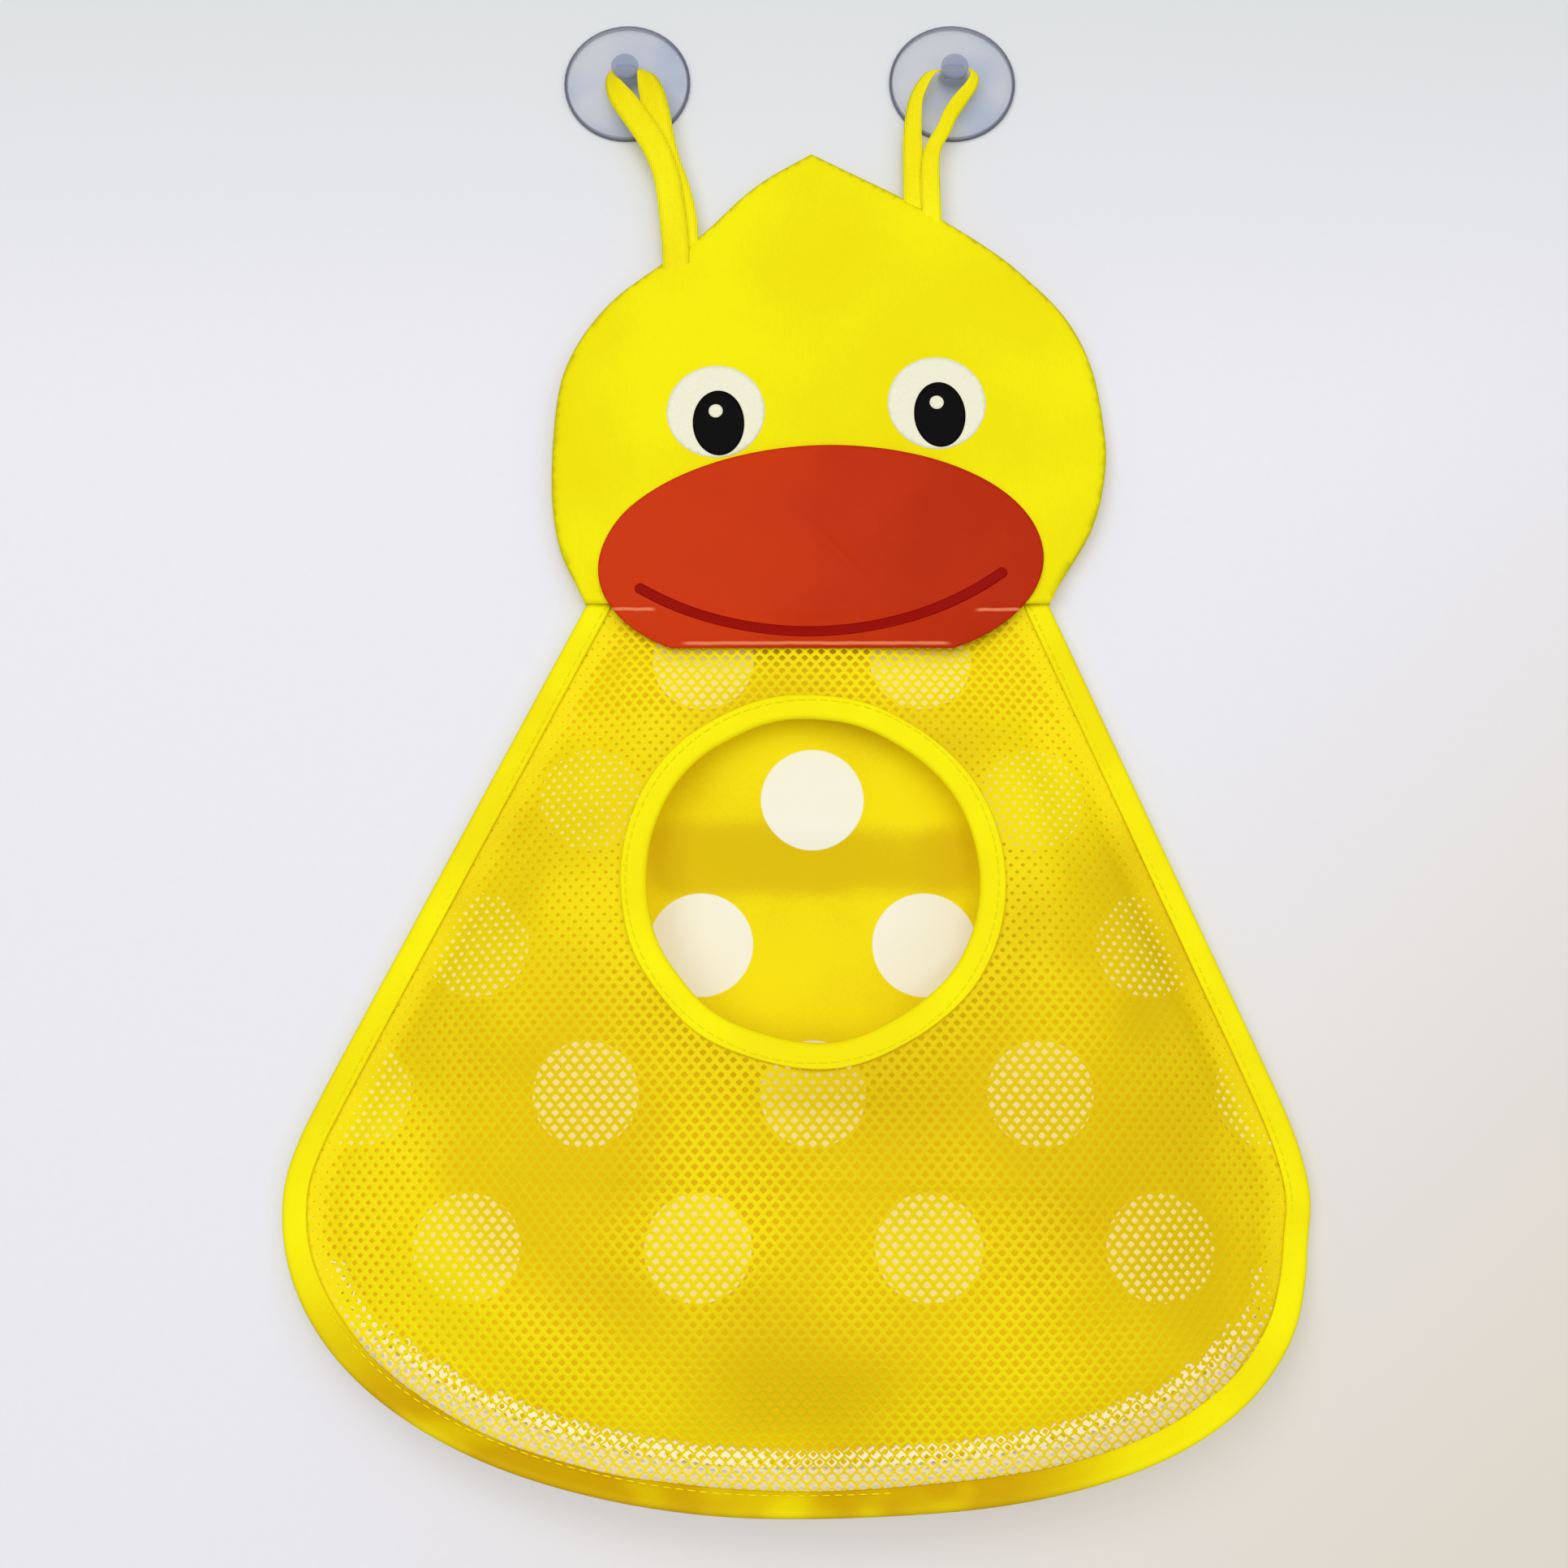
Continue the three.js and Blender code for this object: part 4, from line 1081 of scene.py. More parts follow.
class TOYBAG_OT_net(bpy.types.Operator):
    """Front net of the pouch, knitted round small six-sided holes."""

    bl_idname = "toybag.net"
    bl_label = "Front net"

    # How far the net runs on into the opening's tape, and its holes stay off its edge
    in_ring = 2.1 * MM
    off_edge = 2.2 * MM

    # Stretch of the holes: usual, more where pulled, and its unevenness; bounds; at the floor
    # seam; the net's middle across; waves of the unevenness; and the share that a seam holds back
    usual, pulled, uneven = 0.76, 0.42, 0.08
    least, most = 0.6, 1.24
    at_seam = 1.54
    middle = 5 * MM
    uneven_wave = 34 * MM, 61
    held = 0.7

    # Where it changes, from and to: away from the middle, low down, under the neck, along the
    # floor, and with the distance from the seam there and elsewhere
    aside = 80 * MM, 125 * MM
    low = 285 * MM, 335 * MM
    neck = -232 * MM, -222 * MM
    floor = 395 * MM, 425 * MM
    floor_seam = 17 * MM, 21 * MM
    side_seam = 10 * MM, 13 * MM

    # Where the net comes loose: from the tape, from the ring and from the seam; at the ring; and
    # how far below the neck it starts
    from_tape = 0, 12 * MM
    ring_free = 1 * MM, 20 * MM
    seam_free = 9 * MM, 26 * MM
    ring_near = -0.5 * MM, 12 * MM
    below_neck = 3 * MM

    def execute(self, context):
        settings = settings_of(context)
        outline = flat_loop("front_net", CLOTH_OUTLINE, FACING_SLOPED)
        centre, outer = ring_circle()
        inner = outer - settings.ring_width + self.in_ring
        low, high = outline.min(0), outline.max(0)
        cells = staggered(low, high, settings.net_pitch, settings.net_row)
        cells = cells[inside(cells, outline)]
        cells = cells[reach(cells, outline) > self.off_edge]
        cells = cells[np.linalg.norm(cells - centre, axis=1) > inner]
        shares = settings.net_hole_share * self.stretch(cells, reach(cells, outline))
        places, faces = net_mesh(cells, shares, settings, self.surface(settings))
        material = net_material("front net", settings.rgb("net"))
        net = new_piece("front_net_cloth", places, faces, material)
        finish_net(net, len(cells))
        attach(net, BAG)
        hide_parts("front_net")
        float(flat_area(outline) - math.pi * inner**2)
        return {"FINISHED"}

    def stretch(self, cells, off):
        """How far the net is pulled open: most low in the middle and along the floor seam."""
        x, z = cells.T
        aside = eased(np.abs(x - self.middle), *self.aside)
        below = eased(-z, *self.low) * (1 - self.held * aside)
        above = eased(z, *self.neck)
        seam = eased(-z, *self.floor) * (1 - eased(off, *self.floor_seam))
        uneven = self.uneven * undulation(x, z, *self.uneven_wave) - folds(x, z, NET_SLACK)
        share = np.clip(self.usual + self.pulled * (below + above) + uneven, self.least, self.most)
        bound = (1 - eased(off, *self.side_seam)) * (1 - seam)
        return np.maximum(share * (1 - self.held * bound), self.at_seam * seam)

    def surface(self, settings):
        """The net's middle: flat in the tapes, and bulging and rumpled between them."""
        solid = FrontOf("front_net")
        path = seam_path(SEAM_SPACING)
        lean = seam_lean(path)
        wave = tape_wave(path)
        centre, outer = ring_circle()

        def depth(x, z):
            index, off = nearest(np.stack([x, z], axis=1), path[:, [0, 2]])
            slope, cosine = np.tan(lean[index]), np.cos(lean[index])
            in_tape = settings.tape_width * cosine
            share = np.minimum(off / in_tape, 1)
            seam = -path[index, 1] - share * in_tape * slope - TAPE_BACK / cosine
            seam += CLOTH_GAP + wave[index] * share * cosine
            at_neck = z > NECK_UP - self.below_neck
            from_seam = np.where(at_neck, 1, eased(off - in_tape, *self.from_tape))
            from_ring = np.hypot(x - centre[0], z - centre[1]) - outer
            free = eased(from_ring, *self.ring_free) * eased(off, *self.seam_free)
            rumple = swell(x, z, NET_SWELL) + folds(x, z, NET_FOLDS)
            belly = solid(x, z) - CLOTH_GAP + free * rumple
            near_ring = eased(from_ring, *self.ring_near)
            belly = ring_depth(z) * (1 - near_ring) + belly * near_ring
            return seam * (1 - from_seam) + belly * from_seam

        def surface(points):
            x, z = points.T
            places = np.stack([x, -depth(x, z), z], axis=1)
            return places, np.tile(TOWARDS_ROOM, (len(points), 1))

        return surface


def ring_circle():
    """Middle and outer radius of the round opening's tape, across and up."""
    lo, hi = RING_BOX
    return np.array([(lo.x + hi.x) / 2, (lo.z + hi.z) / 2]), (hi.x - lo.x) / 2


def ring_depth(up):
    """How far in front of the wall the opening's tape lies at a level."""
    lo, hi = RING_BOX
    share = (hi.z - up) / (hi.z - lo.z)
    return -hi.y + RING_HALF + (hi.y - lo.y - 2 * RING_HALF) * share


def seam_path(spacing):
    """The edge seam, from the left end of the neck round the bottom to the right end."""
    loop = front_loops("front_net", FACING_SLOPED)[0]
    below = loop[:, 2] < NECK_UP + 0.5 * MM
    start = next(i for i in range(len(loop)) if below[i] and not below[i - 1])
    run = np.roll(loop, -start, axis=0)
    run = run[np.roll(below, -start)]
    if run[0, 0] > run[-1, 0]:
        run = run[::-1]
    return resampled(run, spacing, closed=False)


def seam_lean(path):
    """How far the tape leans back from its fold: not at all at the sides, most along the floor."""
    deep = path[:, 1]
    return FLOOR_LEAN * (deep.max() - deep) / (deep.max() - deep.min())


def tape_wave(path):
    """How far the tape's lips swing forward along the seam: more along the floor."""
    x, z = path[:, 0], path[:, 2]
    (ripple, *fine), (swing, *long) = TAPE_WAVES
    low = np.clip((TAPE_LOW - z) / TAPE_LOWERS, 0, 1)
    return MM * (ripple * undulation(x, z, *fine) + (swing + low) * undulation(x, z, *long))


def seam_frame(path):
    """Inward and forward directions of the folded tape along the seam."""
    along = along_path(path[:, [0, 2]])
    lean = seam_lean(path)
    cosine, sine = np.cos(lean), np.sin(lean)
    side = np.stack([-along[:, 1], along[:, 0]], axis=1)
    inward = np.stack([side[:, 0] * cosine, sine, side[:, 1] * cosine], axis=1)
    forward = np.stack([side[:, 0] * sine, -cosine, side[:, 1] * sine], axis=1)
    return inward, forward


def folded_section(width, half):
    """Half-round fold and two flat lips of a tape, as inward and forward distances."""
    inner = half - TAPE_CLOTH
    fold = [
        (half * (1 - math.cos(turn)), half * math.sin(turn))
        for turn in np.linspace(-math.pi / 2, math.pi / 2, FOLD_CORNERS)
    ]
    lip = [(share * width, half) for share in TAPE_LIP]
    lip += [(width, half - TAPE_CLOTH * TAPE_ROUNDED), (width, inner)]
    slot = [(half, inner), (half - TAPE_CLOTH * TAPE_CREASED, 0), (half, -inner)]
    mirrored = [(w, -f) for w, f in reversed(lip)]
    return np.array(fold + lip + slot + mirrored)


class TOYBAG_OT_edge_tape(bpy.types.Operator):
    """Binding tape round the sides and the floor of the bag, with its seam of stitches."""

    bl_idname = "toybag.edge_tape"
    bl_label = "Edge binding"

    # How far the ends run on under the head, in steps of the path, and where the stitches lie
    tuck = 1.4
    seam_inward = 6.0 * MM
    seam_forward = 1.6 * MM

    def execute(self, context):
        settings = settings_of(context)
        path = seam_path(SEAM_SPACING)
        ends = [path[i] + self.tuck * (path[i] - path[j]) for i, j in ((0, 1), (-1, -2))]
        path = np.vstack([ends[0], path, ends[1]])
        inward, forward = seam_frame(path)
        wave = tape_wave(path)
        width = settings.tape_width
        section = folded_section(width, TAPE_HALF)
        start = path - inward * SEAM_INSET - forward * TAPE_BACK
        sections = [
            start[i] + inward[i] * w + forward[i] * (f + wave[i] * w / width)
            for i in range(len(path))
            for w, f in section
        ]
        sections = np.array(sections).reshape(len(path), len(section), 3)
        material = tape_material("edge tape", settings.rgb("tape"))
        tape = swept("edge_tape", sections, material)
        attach(tape, BAG)
        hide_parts("edge_binding")
        seam = start + inward * self.seam_inward + forward * self.seam_forward
        stitches = stitch_row("edge", seam, forward, settings.stitch)
        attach(stitches, BAG)
        return {"FINISHED"}


def stitch_row(name, path, forward, length):
    """A row of short sewn threads that lie along a path."""
    run = run_along(path)
    count = int(run[-1] / (length * STITCH_PITCH))
    rings = len(THREAD_GIRTHS)
    turns = np.linspace(0, math.tau, THREAD_SIDES, endpoint=False)
    places, faces = [], []
    for s in range(count):
        stations = s * run[-1] / count + np.linspace(0, length, rings)
        centre, up = at_run(stations, run, path), at_run(stations, run, forward)
        side = np.cross(along_path(centre), up)
        faces += tube_faces(rings, THREAD_SIDES, base=len(places))
        for k, girth in enumerate(THREAD_GIRTHS):
            arch = math.sin(math.pi * k / (rings - 1))
            lift = up[k] * THREAD_WIDTH * THREAD_LIFT * arch
            for turn in turns:
                out = side[k] * math.cos(turn) + up[k] * math.sin(turn) * THREAD_FLATNESS
                places.append(centre[k] + lift + out * THREAD_WIDTH / 2 * girth)
    material = ink_material(f"{name} thread", SHADES["thread"])
    obj = new_piece(f"{name}_stitches", places, faces, material)
    outward(obj)
    return obj


class TOYBAG_OT_ring(bpy.types.Operator):
    """Binding tape round the toy opening, with its seam of stitches."""

    bl_idname = "toybag.ring"
    bl_label = "Opening binding"

    steps = 180
    seam_inward = 6.2 * MM
    seam_forward = 0.1 * MM

    # Its waves forward and outward: height and length of a wave, and a seed
    waves = ((0.5 * MM, 14 * MM, 41), (0.9 * MM, 24 * MM, 42))

    # Where the tape's ends lie one over the other, and how long and high that place is
    overlap = math.radians(268)
    overlap_length = 0.09
    overlap_height = 0.7 * MM

    def execute(self, context):
        settings = settings_of(context)
        middle, outer = ring_circle()
        centre = np.array([middle[0], 0, middle[1]])
        width = settings.ring_width
        turns = np.linspace(0, math.tau, self.steps, endpoint=False)
        out = np.stack([np.cos(turns), np.zeros(self.steps), np.sin(turns)], axis=1)
        rim = outer * out[:, [0, 2]].T
        wave, shift = (height * undulation(*rim, *kind) for height, *kind in self.waves)
        off = (turns - self.overlap) / self.overlap_length
        wave = wave + self.overlap_height * np.exp(-(off**2))
        sections = []
        for direction, lift, slide in zip(out, wave, shift):
            for w, f in folded_section(width, RING_HALF):
                place = centre + direction * (outer - width + w + slide)
                depth = ring_depth(place[2]) + f + lift * (1 + w / width) / 2
                sections.append(place + TOWARDS_ROOM * depth)
        sections = np.array(sections).reshape(len(turns), -1, 3)
        material = tape_material("opening tape", settings.rgb("tape"))
        ring = swept("opening_tape", sections, material, closed=True)
        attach(ring, BAG)
        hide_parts("opening_binding")
        seam = centre + out * (outer - width + self.seam_inward)
        seam[:, 1] = -(ring_depth(seam[:, 2]) + RING_HALF + self.seam_forward) - wave
        seam = np.vstack([seam, seam[:1]])
        forward = np.tile(TOWARDS_ROOM, (len(seam), 1))
        stitches = stitch_row("opening", seam, forward, settings.stitch)
        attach(stitches, BAG)
        return {"FINISHED"}


class TOYBAG_OT_floor(bpy.types.Operator):
    """Pale net floor between the back cloth and the edge seam."""

    bl_idname = "toybag.floor"
    bl_label = "Net floor"

    # How far forward the seam is where the floor starts, how deep the floor lies in the tape and
    # in front of the back cloth, where it meets that cloth and how wide its hem is
    starts = 1.6 * MM
    in_tape = 0.9 * MM
    over_back = 0.9 * MM
    meets = 9.6 * MM
    hem = 5 * MM
    margin = 3 * MM
    first_row = 2 * MM
    last_row = 1 * MM

    def execute(self, context):
        settings = settings_of(context)
        path = seam_path(FLOOR_SPACING)
        inward, forward = seam_frame(path)
        raised = path[:, 1] < path[:, 1].max() - self.starts
        path, inward, forward = path[raised], inward[raised], forward[raised]
        side = unit(inward * (1, 0, 1))
        seam = path + inward * SEAM_INSET - forward * self.in_tape
        meeting = path + side * self.meets
        meeting[:, 1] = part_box("back_panel")[0].y - self.over_back
        width = np.linalg.norm(meeting - seam, axis=1)
        run = run_along(seam)
        depth = float(width.max()) + self.hem
        low, high = (self.margin, self.first_row), (run[-1] - self.margin, depth)
        cells = staggered(low, high, settings.net_pitch, settings.net_row)
        limit = np.interp(cells[:, 0], run, width) + self.hem
        cells = cells[cells[:, 1] < limit - self.last_row]

        def surface(points):
            across, back = points.T
            known = (seam, meeting, side, np.gradient(seam, axis=0))
            start, end, inner, along = (at_run(across, run, rows) for rows in known)
            length = np.linalg.norm(end - start, axis=1)
            share = np.clip(back / length, 0, 1)[:, None]
            beyond = np.maximum(back - length, 0)[:, None]
            places = start + (end - start) * share + inner * beyond
            normal = unit(np.cross(along, end - start))
            return places, np.where(normal[:, 1:2] > 0, -normal, normal)

        shares = np.full(len(cells), settings.net_hole_share)
        places, faces = net_mesh(cells, shares, settings, surface)
        material = net_material("floor net", settings.rgb("floor"))
        floor = new_piece("floor_net_cloth", places, faces, material)
        finish_net(floor, len(cells))
        outward(floor)
        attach(floor, BAG)
        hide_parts("floor_net")
        return {"FINISHED"}


class TOYBAG_OT_head(bpy.types.Operator):
    """Head cloth with its edge turned back to the seam."""

    bl_idname = "toybag.head"
    bl_label = "Head cloth"

    # The turned edge: its width and drop, and how it ends above the neck
    edge_width, edge_drop = 2.6 * MM, 1.6 * MM
    ends_above, ends_over = 4 * MM, 8 * MM

    # The seam's line inside the edge: its place, half width and depth
    seam_inward, seam_half, seam_depth = 4.2 * MM, 1.3 * MM, 0.3 * MM

    def execute(self, context):
        settings = settings_of(context)
        outline = flat_loop("head_panel", HEAD_OUTLINE)

        def depth(x, z):
            near = reach(np.stack([x, z], axis=1), outline)
            above = np.clip((z - NECK_UP - self.ends_above) / self.ends_over, 0, 1)
            turned = self.edge_drop * np.clip(1 - near / self.edge_width, 0, 1) ** 2 * above
            seam = self.seam_depth * np.exp(-(((near - self.seam_inward) / self.seam_half) ** 2))
            return head_depth(x, z) - turned - seam

        material = cloth_material("head cloth", settings.rgb("head"), 0.35, 0.05 * MM)
        head = sheet_piece("head_cloth", outline, HEAD_SPACING, depth, settings.cloth, material)
        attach(head, BAG)
        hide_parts("head_panel")
        flat_area(outline)
        return {"FINISHED"}


def flap_middle():
    """Middle of the beak's free part, across."""
    lo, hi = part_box("beak_flap")
    return (lo.x + hi.x) / 2


class TOYBAG_OT_beak(bpy.types.Operator):
    """Beak, one vinyl piece that bends at the crease, with the printed mouth line."""

    bl_idname = "toybag.beak"
    bl_label = "Beak and mouth"

    thickness = 0.45 * MM
    corner = math.radians(20)

    # The mouth line's arc: its ends and its lowest place, inward from those of the CAD outline
    left_inset = 1.2 * MM, -1.2 * MM
    right_inset = -1.6 * MM, -0.6 * MM
    low_inset = 0, 1.6 * MM
    stations = 240

    # Its stroke: half width, shares of it across, and the part of the arc where each end narrows
    stroke_half = 1.75 * MM
    stroke_shares = np.linspace(-1, 1, 9)
    end_share = 0.024
    end_width = 0.06

    # Its print: thickness, height over the beak, and how much lower its rim lies
    film = 0.15 * MM
    lift = 0.28 * MM
    rim_drop = 0.15 * MM

    def execute(self, context):
        settings = settings_of(context)
        upper = front_loops("beak_upper")[0][:, [0, 2]]
        lower = front_loops("beak_flap", FACING_SLOPED)[0][:, [0, 2]]
        outline = smoothed(joined_outline(upper, lower), BEAK_SPACING, self.corner)
        material = vinyl_material(settings)
        beak = sheet_piece("beak", outline, BEAK_SPACING, beak_depth, self.thickness, material)
        self.bend(beak)
        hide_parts("beak_upper", "beak_flap")
        flat_area(outline)
        ink = ink_material("mouth ink", settings.rgb("mouth"))
        mouth = new_piece("mouth_line", *self.mouth(), ink)
        self.bend(mouth)
        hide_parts("mouth_left", "mouth_middle", "mouth_right")
        return {"FINISHED"}

    def bend(self, obj):
        """Bakes a piece's placing into its vertices."""
        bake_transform(obj)

    def mouth(self):
        """The mouth line's stroke, as a film along one arc."""
        nodes = [f"mouth_{part}" for part in ("left", "middle", "right")]
        line = np.vstack([front_loops(node, FACING_SLOPED)[0][:, [0, 2]] for node in nodes])
        start = line[line[:, 0].argmin()] + self.left_inset
        end = line[line[:, 0].argmax()] + self.right_inset
        bottom = line[line[:, 1].argmin()] + self.low_inset
        chord, middle = end - start, (start + end) / 2
        length = np.linalg.norm(chord)
        normal = np.array([chord[1], -chord[0]]) / length
        sag = (bottom - middle) @ normal
        radius = (length**2 / 4 + sag**2) / (2 * sag)
        centre = middle + normal * (sag - radius)
        first, last = (math.atan2(*(place - centre)[::-1]) for place in (start, end))
        turns = np.linspace(first, last, self.stations)
        rows = []
        for turn, share in zip(turns, np.linspace(-1, 1, self.stations)):
            into_end = max(abs(share) - (1 - self.end_share), 0) / self.end_share
            narrow = max(math.sqrt(max(1 - into_end**2, 0)), self.end_width)
            out = radius + self.stroke_shares * self.stroke_half * narrow
            rows.append(centre + out[:, None] * (math.cos(turn), math.sin(turn)))
        flat = np.vstack(rows)
        rim = np.tile(np.abs(self.stroke_shares) == 1, self.stations)
        depth = beak_depth(flat[:, 0], flat[:, 1]) + self.lift - rim * self.rim_drop
        places = np.stack([flat[:, 0], -depth, flat[:, 1]], axis=1)
        count = len(self.stroke_shares)
        firsts = [r * count + i for r in range(self.stations - 1) for i in range(count - 1)]
        faces = [(here, here + count, here + count + 1, here + 1) for here in firsts]
        return thickened(places, faces, self.film)


def joined_outline(upper, lower):
    """One outline from the two parts of the beak, without the crease between them."""
    top = upper[upper[:, 1] > CREASE_UP + CREASE_CLEAR]
    bottom = lower[lower[:, 1] < CREASE_UP - CREASE_CLEAR]
    whole = np.vstack([top, bottom])
    turns = np.arctan2(whole[:, 1] - CREASE_UP, whole[:, 0] - whole[:, 0].mean())
    return whole[np.argsort(turns)]


class TOYBAG_OT_eyes(bpy.types.Operator):
    """Printed eyes that follow the head cloth."""

    bl_idname = "toybag.eyes"
    bl_label = "Eyes"

    # Spacing along the outlines, and thickness, height and height per layer of a print
    outline_spacing = 1 * MM
    film = 0.12 * MM
    lowest, layer = 0.12 * MM, 0.16 * MM

    def execute(self, context):
        settings = settings_of(context)
        white = settings.rgb("eye")

        # From the lowest to the highest: kind of node, slot, ink and spacing of the points
        prints = (
            ("eye_white", "eye_white", ink_material("eye white ink", white, 0.55), 1.6 * MM),
            ("pupil", "pupil_ink", ink_material("pupil ink", SHADES["pupil"], 0.45), 1.6 * MM),
            ("glint", "eye_white", ink_material("glint ink", white, 0.5), 0.8 * MM),
        )
        for side in ("left", "right"):
            for level, (kind, slot, ink, spacing) in enumerate(prints):
                node = f"{kind}_{side}"
                outline = flat_loop(node, self.outline_spacing)
                lift = self.lowest + self.layer * level

                def depth(x, z):
                    return head_depth(x, z) + lift

                film = sheet_piece(f"{node}_print", outline, spacing, depth, self.film, ink)
                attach(film, BAG)
                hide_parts(node)
        return {"FINISHED"}


class TOYBAG_OT_ribbons(bpy.types.Operator):
    """Ribbon loops that hang the bag from the cups' hubs."""

    bl_idname = "toybag.ribbons"
    bl_label = "Ribbon loops"

    # The ribbon's cross-section, in shares of its half width and half thickness
    section = (
        (-1, -0.6), (-0.5, -1), (0.5, -1), (1, -0.6),
        (1, 0.6), (0.5, 1), (-0.5, 1), (-1, 0.6),
    )
    half_thickness = 0.3 * MM

    # Places of each loop's middle line from one end under the head to the other, in millimetres
    # across, in front and up, with the width there as a share and the turn of its face in degrees
    loops = {
        "ribbon_loop_left": [
            (-38.0, 6.4, -74, 1.05, 0),
            (-38.4, 6.5, -65, 1.05, 0),
            (-39.2, 6.6, -57, 1.05, 0),
            (-40.4, 6.7, -47, 1.02, 0),
            (-42.2, 6.9, -37, 1.02, 0),
            (-45.8, 7.2, -27.6, 1.05, 0),
            (-50.6, 7.6, -19.6, 1.05, 5),
            (-55.6, 8.0, -12.6, 1, 12),
            (-59.2, 8.4, -7.6, 0.85, 25),
            (-61.4, 8.4, -2.6, 0.6, 50),
            (-60.4, 7.8, 0.8, 0.4, 60),
            (-56.2, 7.6, 0.6, 0.4, 60),
            (-51.6, 8.0, 0.6, 0.5, 60),
            (-49.4, 8.6, -1.5, 0.85, 38),
            (-47.4, 7.8, -7, 1.05, 18),
            (-45.4, 6.8, -15, 1.05, 8),
            (-43.6, 6.2, -24, 1, 5),
            (-41.4, 5.8, -33, 1, 0),
            (-38.2, 5.4, -42.2, 1, 0),
            (-35.8, 5.2, -52.5, 1, 0),
            (-35.2, 5.2, -61, 1, 0),
            (-34.8, 5.2, -73, 1, 0),
        ],
        "ribbon_loop_right": [
            (42.8, 5.6, -60, 0.82, 0),
            (42.2, 5.6, -46.3, 0.85, 0),
            (42.0, 5.7, -31.5, 0.82, 5),
            (41.9, 6.0, -21.4, 0.72, 12),
            (42.9, 6.6, -11, 0.62, 25),
            (45.3, 7.4, -4.7, 0.6, 35),
            (48.4, 8.0, -0.6, 0.55, 45),
            (51.8, 7.8, 0.4, 0.4, 60),
            (56.2, 7.6, 0.6, 0.4, 60),
            (60.8, 7.9, 1.0, 0.42, 55),
            (63.2, 8.2, -1.6, 0.45, 40),
            (61.8, 8.2, -5.8, 0.5, 25),
            (57.8, 7.9, -11.2, 0.6, 20),
            (54.6, 7.5, -16.2, 0.6, 15),
            (52.4, 7.1, -21.4, 0.58, 10),
            (49.2, 6.9, -27, 0.62, 0),
            (47.8, 6.8, -33, 0.7, 0),
            (47.6, 6.6, -42, 0.76, 0),
            (47.9, 6.5, -51.5, 0.76, 0),
            (48.2, 6.5, -62, 0.76, 0),
        ],
    }

    def execute(self, context):
        settings = settings_of(context)
        material = cloth_material("ribbon", settings.rgb("ribbon"), 0.7, 0.12 * MM)
        for node, route in self.loops.items():
            fine = resampled(np.array(route, float), RIBBON_SPACING, closed=False)
            path = fine[:, :3] * (MM, -MM, MM)
            along = along_path(path)
            side = unit(np.cross(along, TOWARDS_ROOM))
            face = np.cross(side, along)
            turn = np.radians(fine[:, 4])[:, None]
            flat = side * np.cos(turn) + face * np.sin(turn)
            thick = np.cross(along, flat) * self.half_thickness
            flat *= (settings.ribbon_width / 2 * fine[:, 3])[:, None]
            sections = [path + flat * across + thick * deep for across, deep in self.section]
            ribbon = swept(f"{node}_cloth", np.stack(sections, axis=1), material)
            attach(ribbon, BAG)
            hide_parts(node)
        return {"FINISHED"}


class TOYBAG_OT_cups(bpy.types.Operator):
    """Finish of the two clear suction cups."""

    bl_idname = "toybag.cups"
    bl_label = "Suction cups"

    weld_distance = 0.01 * MM
    crisp_angle = math.radians(35)

    def execute(self, context):
        for side in ("left", "right"):
            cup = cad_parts[f"suction_cup_{side}"]
            cup.data.materials.clear()
            cup.data.materials.append(cup_material(side, settings_of(context)))
            cup.data.polygons.foreach_set("use_smooth", [True] * len(cup.data.polygons))
            cup.modifiers.new("weld", "WELD").merge_threshold = self.weld_distance
            cup.modifiers.new("crisp edges", "EDGE_SPLIT").split_angle = self.crisp_angle
        return {"FINISHED"}


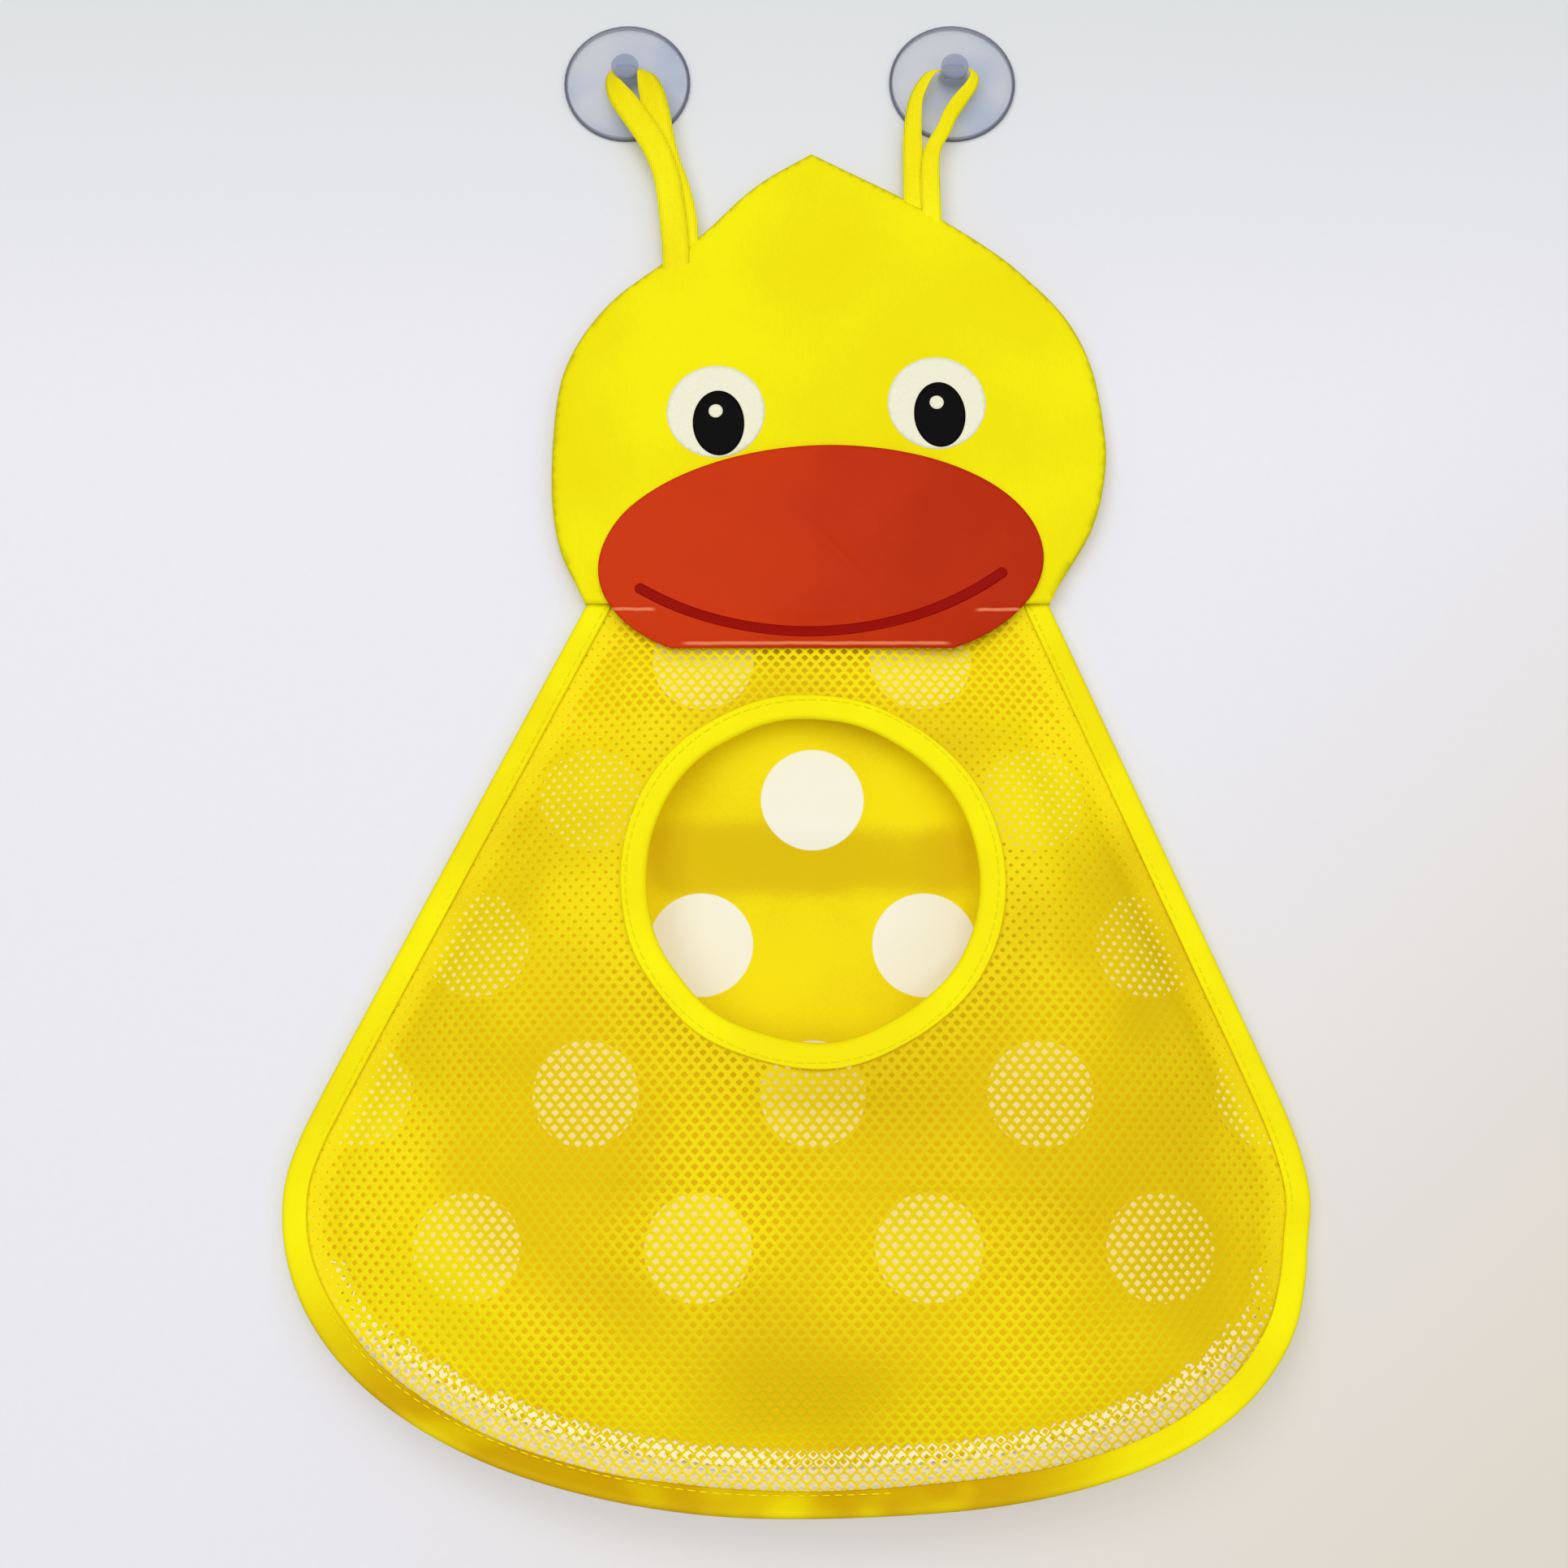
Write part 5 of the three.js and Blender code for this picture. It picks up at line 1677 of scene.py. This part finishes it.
class TOYBAG_OT_stage(bpy.types.Operator):
    """Pale wall, soft light and the photograph's camera."""

    bl_idname = "toybag.stage"
    bl_label = "Wall, light and camera"

    wall_half = 3.0
    wall_back = 0.2 * MM

    # Lamps: place, width in metres and power in watts, all turned to the bag's middle
    lamps = {
        "window": ((-0.45, -1.95, 0.1), 2.2, 25.4),
        "room": ((1.0, -1.8, -0.2), 2.0, 9.4),
        "behind": ((0.0, 1.7, -0.2), 1.6, 5.0),
    }
    lit = Vector((0, 0, -0.22))
    air = (0.96, 0.97, 1.0, 1)
    air_strength = 0.45

    def execute(self, context):
        settings = settings_of(context)
        self.wall(settings)
        for name, (place, size, power) in self.lamps.items():
            lamp = bpy.data.lights.new(name, "AREA")
            lamp.size = size
            lamp.energy = power
            aim = (self.lit - Vector(place)).to_track_quat("-Z", "Y").to_euler()
            self.stand(context, name, lamp, place, aim)
        self.surroundings(context, settings)
        camera = bpy.data.cameras.new("camera")
        camera.lens = CAMERA_LENS
        camera.sensor_width = CAMERA_SENSOR
        pitch = (math.pi / 2 + CAMERA_PITCH, 0, 0)
        context.scene.camera = self.stand(context, "camera", camera, CAMERA_PLACE, pitch)
        context.scene.view_settings.view_transform = "Standard"
        return {"FINISHED"}

    def stand(self, context, name, data, place, turn):
        """Puts a lamp or the camera in its place."""
        obj = bpy.data.objects.new(name, data)
        obj.location = place
        obj.rotation_euler = turn
        context.scene.collection.objects.link(obj)
        return obj

    def wall(self, settings):
        """A wall that is seen from the room only, so that the bag's back can be looked at."""
        side = self.wall_half
        places = [(-side, 0, -side), (side, 0, -side), (side, 0, side), (-side, 0, side)]
        shader = new_shader("wall paint")
        across, up = shader.place()
        pale = shader.mix(shader.noise(CLOUDS["wall"]), settings.rgb("wall"), SHADES["wall"])
        # Painted shade on the wall: darker at the top, and a warm painted shadow towards the lower
        # right
        pale = shader.mix(up.step(*WALL_SHADE_ABOVE), pale, SHADES["painted wall shade above"])
        pale = shader.mix((across - up).step(*WALL_SHADOW_CORNER), pale, SHADES["painted wall shadow at the corner"])
        paint = shader.coating(Base_Color=pale, Roughness=0.8, Specular_IOR_Level=0.1)
        clear = shader.node("ShaderNodeBsdfTransparent", {})
        behind = shader.node("ShaderNodeNewGeometry", {}, output="Backfacing")
        material = shader.show(shader.node("ShaderNodeMixShader", {}, behind, paint, clear))
        wall = new_piece("wall", places, [(0, 1, 2, 3)], material, smooth=False)
        wall.visible_shadow = False
        wall.visible_diffuse = False
        wall.location.y = self.wall_back

    def surroundings(self, context, settings):
        """Even light from all round, and the wall's colour where nothing else is seen."""
        world = bpy.data.worlds.new("room")
        context.scene.world = world
        shader = Shader(world, "ShaderNodeOutputWorld")
        wall = linear(settings.rgb("wall"))
        light, seen = (
            shader.node("ShaderNodeBackground", {}, Color=colour, Strength=strength)
            for colour, strength in ((self.air, self.air_strength), (wall, 1.0))
        )
        camera, glossy, clear = (
            shader.node("ShaderNodeLightPath", {}, output=f"Is {ray} Ray")
            for ray in ("Camera", "Glossy", "Transmission")
        )
        looks = camera.most(glossy).most(clear)
        shader.show(shader.node("ShaderNodeMixShader", {}, looks, light, seen))


STEPS = (
    TOYBAG_OT_back,
    TOYBAG_OT_floor,
    TOYBAG_OT_net,
    TOYBAG_OT_edge_tape,
    TOYBAG_OT_ring,
    TOYBAG_OT_head,
    TOYBAG_OT_beak,
    TOYBAG_OT_eyes,
    TOYBAG_OT_ribbons,
    TOYBAG_OT_cups,
    TOYBAG_OT_stage,
)


class TOYBAG_PT_panel(bpy.types.Panel):
    """Lists the bag's pieces in the order in which they are built."""

    bl_idname = "TOYBAG_PT_panel"
    bl_label = "Bath toy bag"
    bl_space_type = "VIEW_3D"
    bl_region_type = "UI"
    bl_category = "Toy Bag"

    def draw(self, context):
        settings = settings_of(context)
        column = self.layout.column()
        for name in ToyBagSettings.__annotations__:
            column.prop(settings, name)
        for step in STEPS:
            column.operator(step.bl_idname)


CLASSES = (ToyBagSettings, *STEPS, TOYBAG_PT_panel)


def register():
    for cls in CLASSES:
        bpy.utils.register_class(cls)
    bpy.types.Scene.toy_bag = bpy.props.PointerProperty(type=ToyBagSettings)


def unregister():
    del bpy.types.Scene.toy_bag
    for cls in reversed(CLASSES):
        bpy.utils.unregister_class(cls)


def main():
    register()
    for step in STEPS:
        group, name = step.bl_idname.split(".")
        getattr(getattr(bpy.ops, group), name)()


if __name__ == "__main__":
    main()
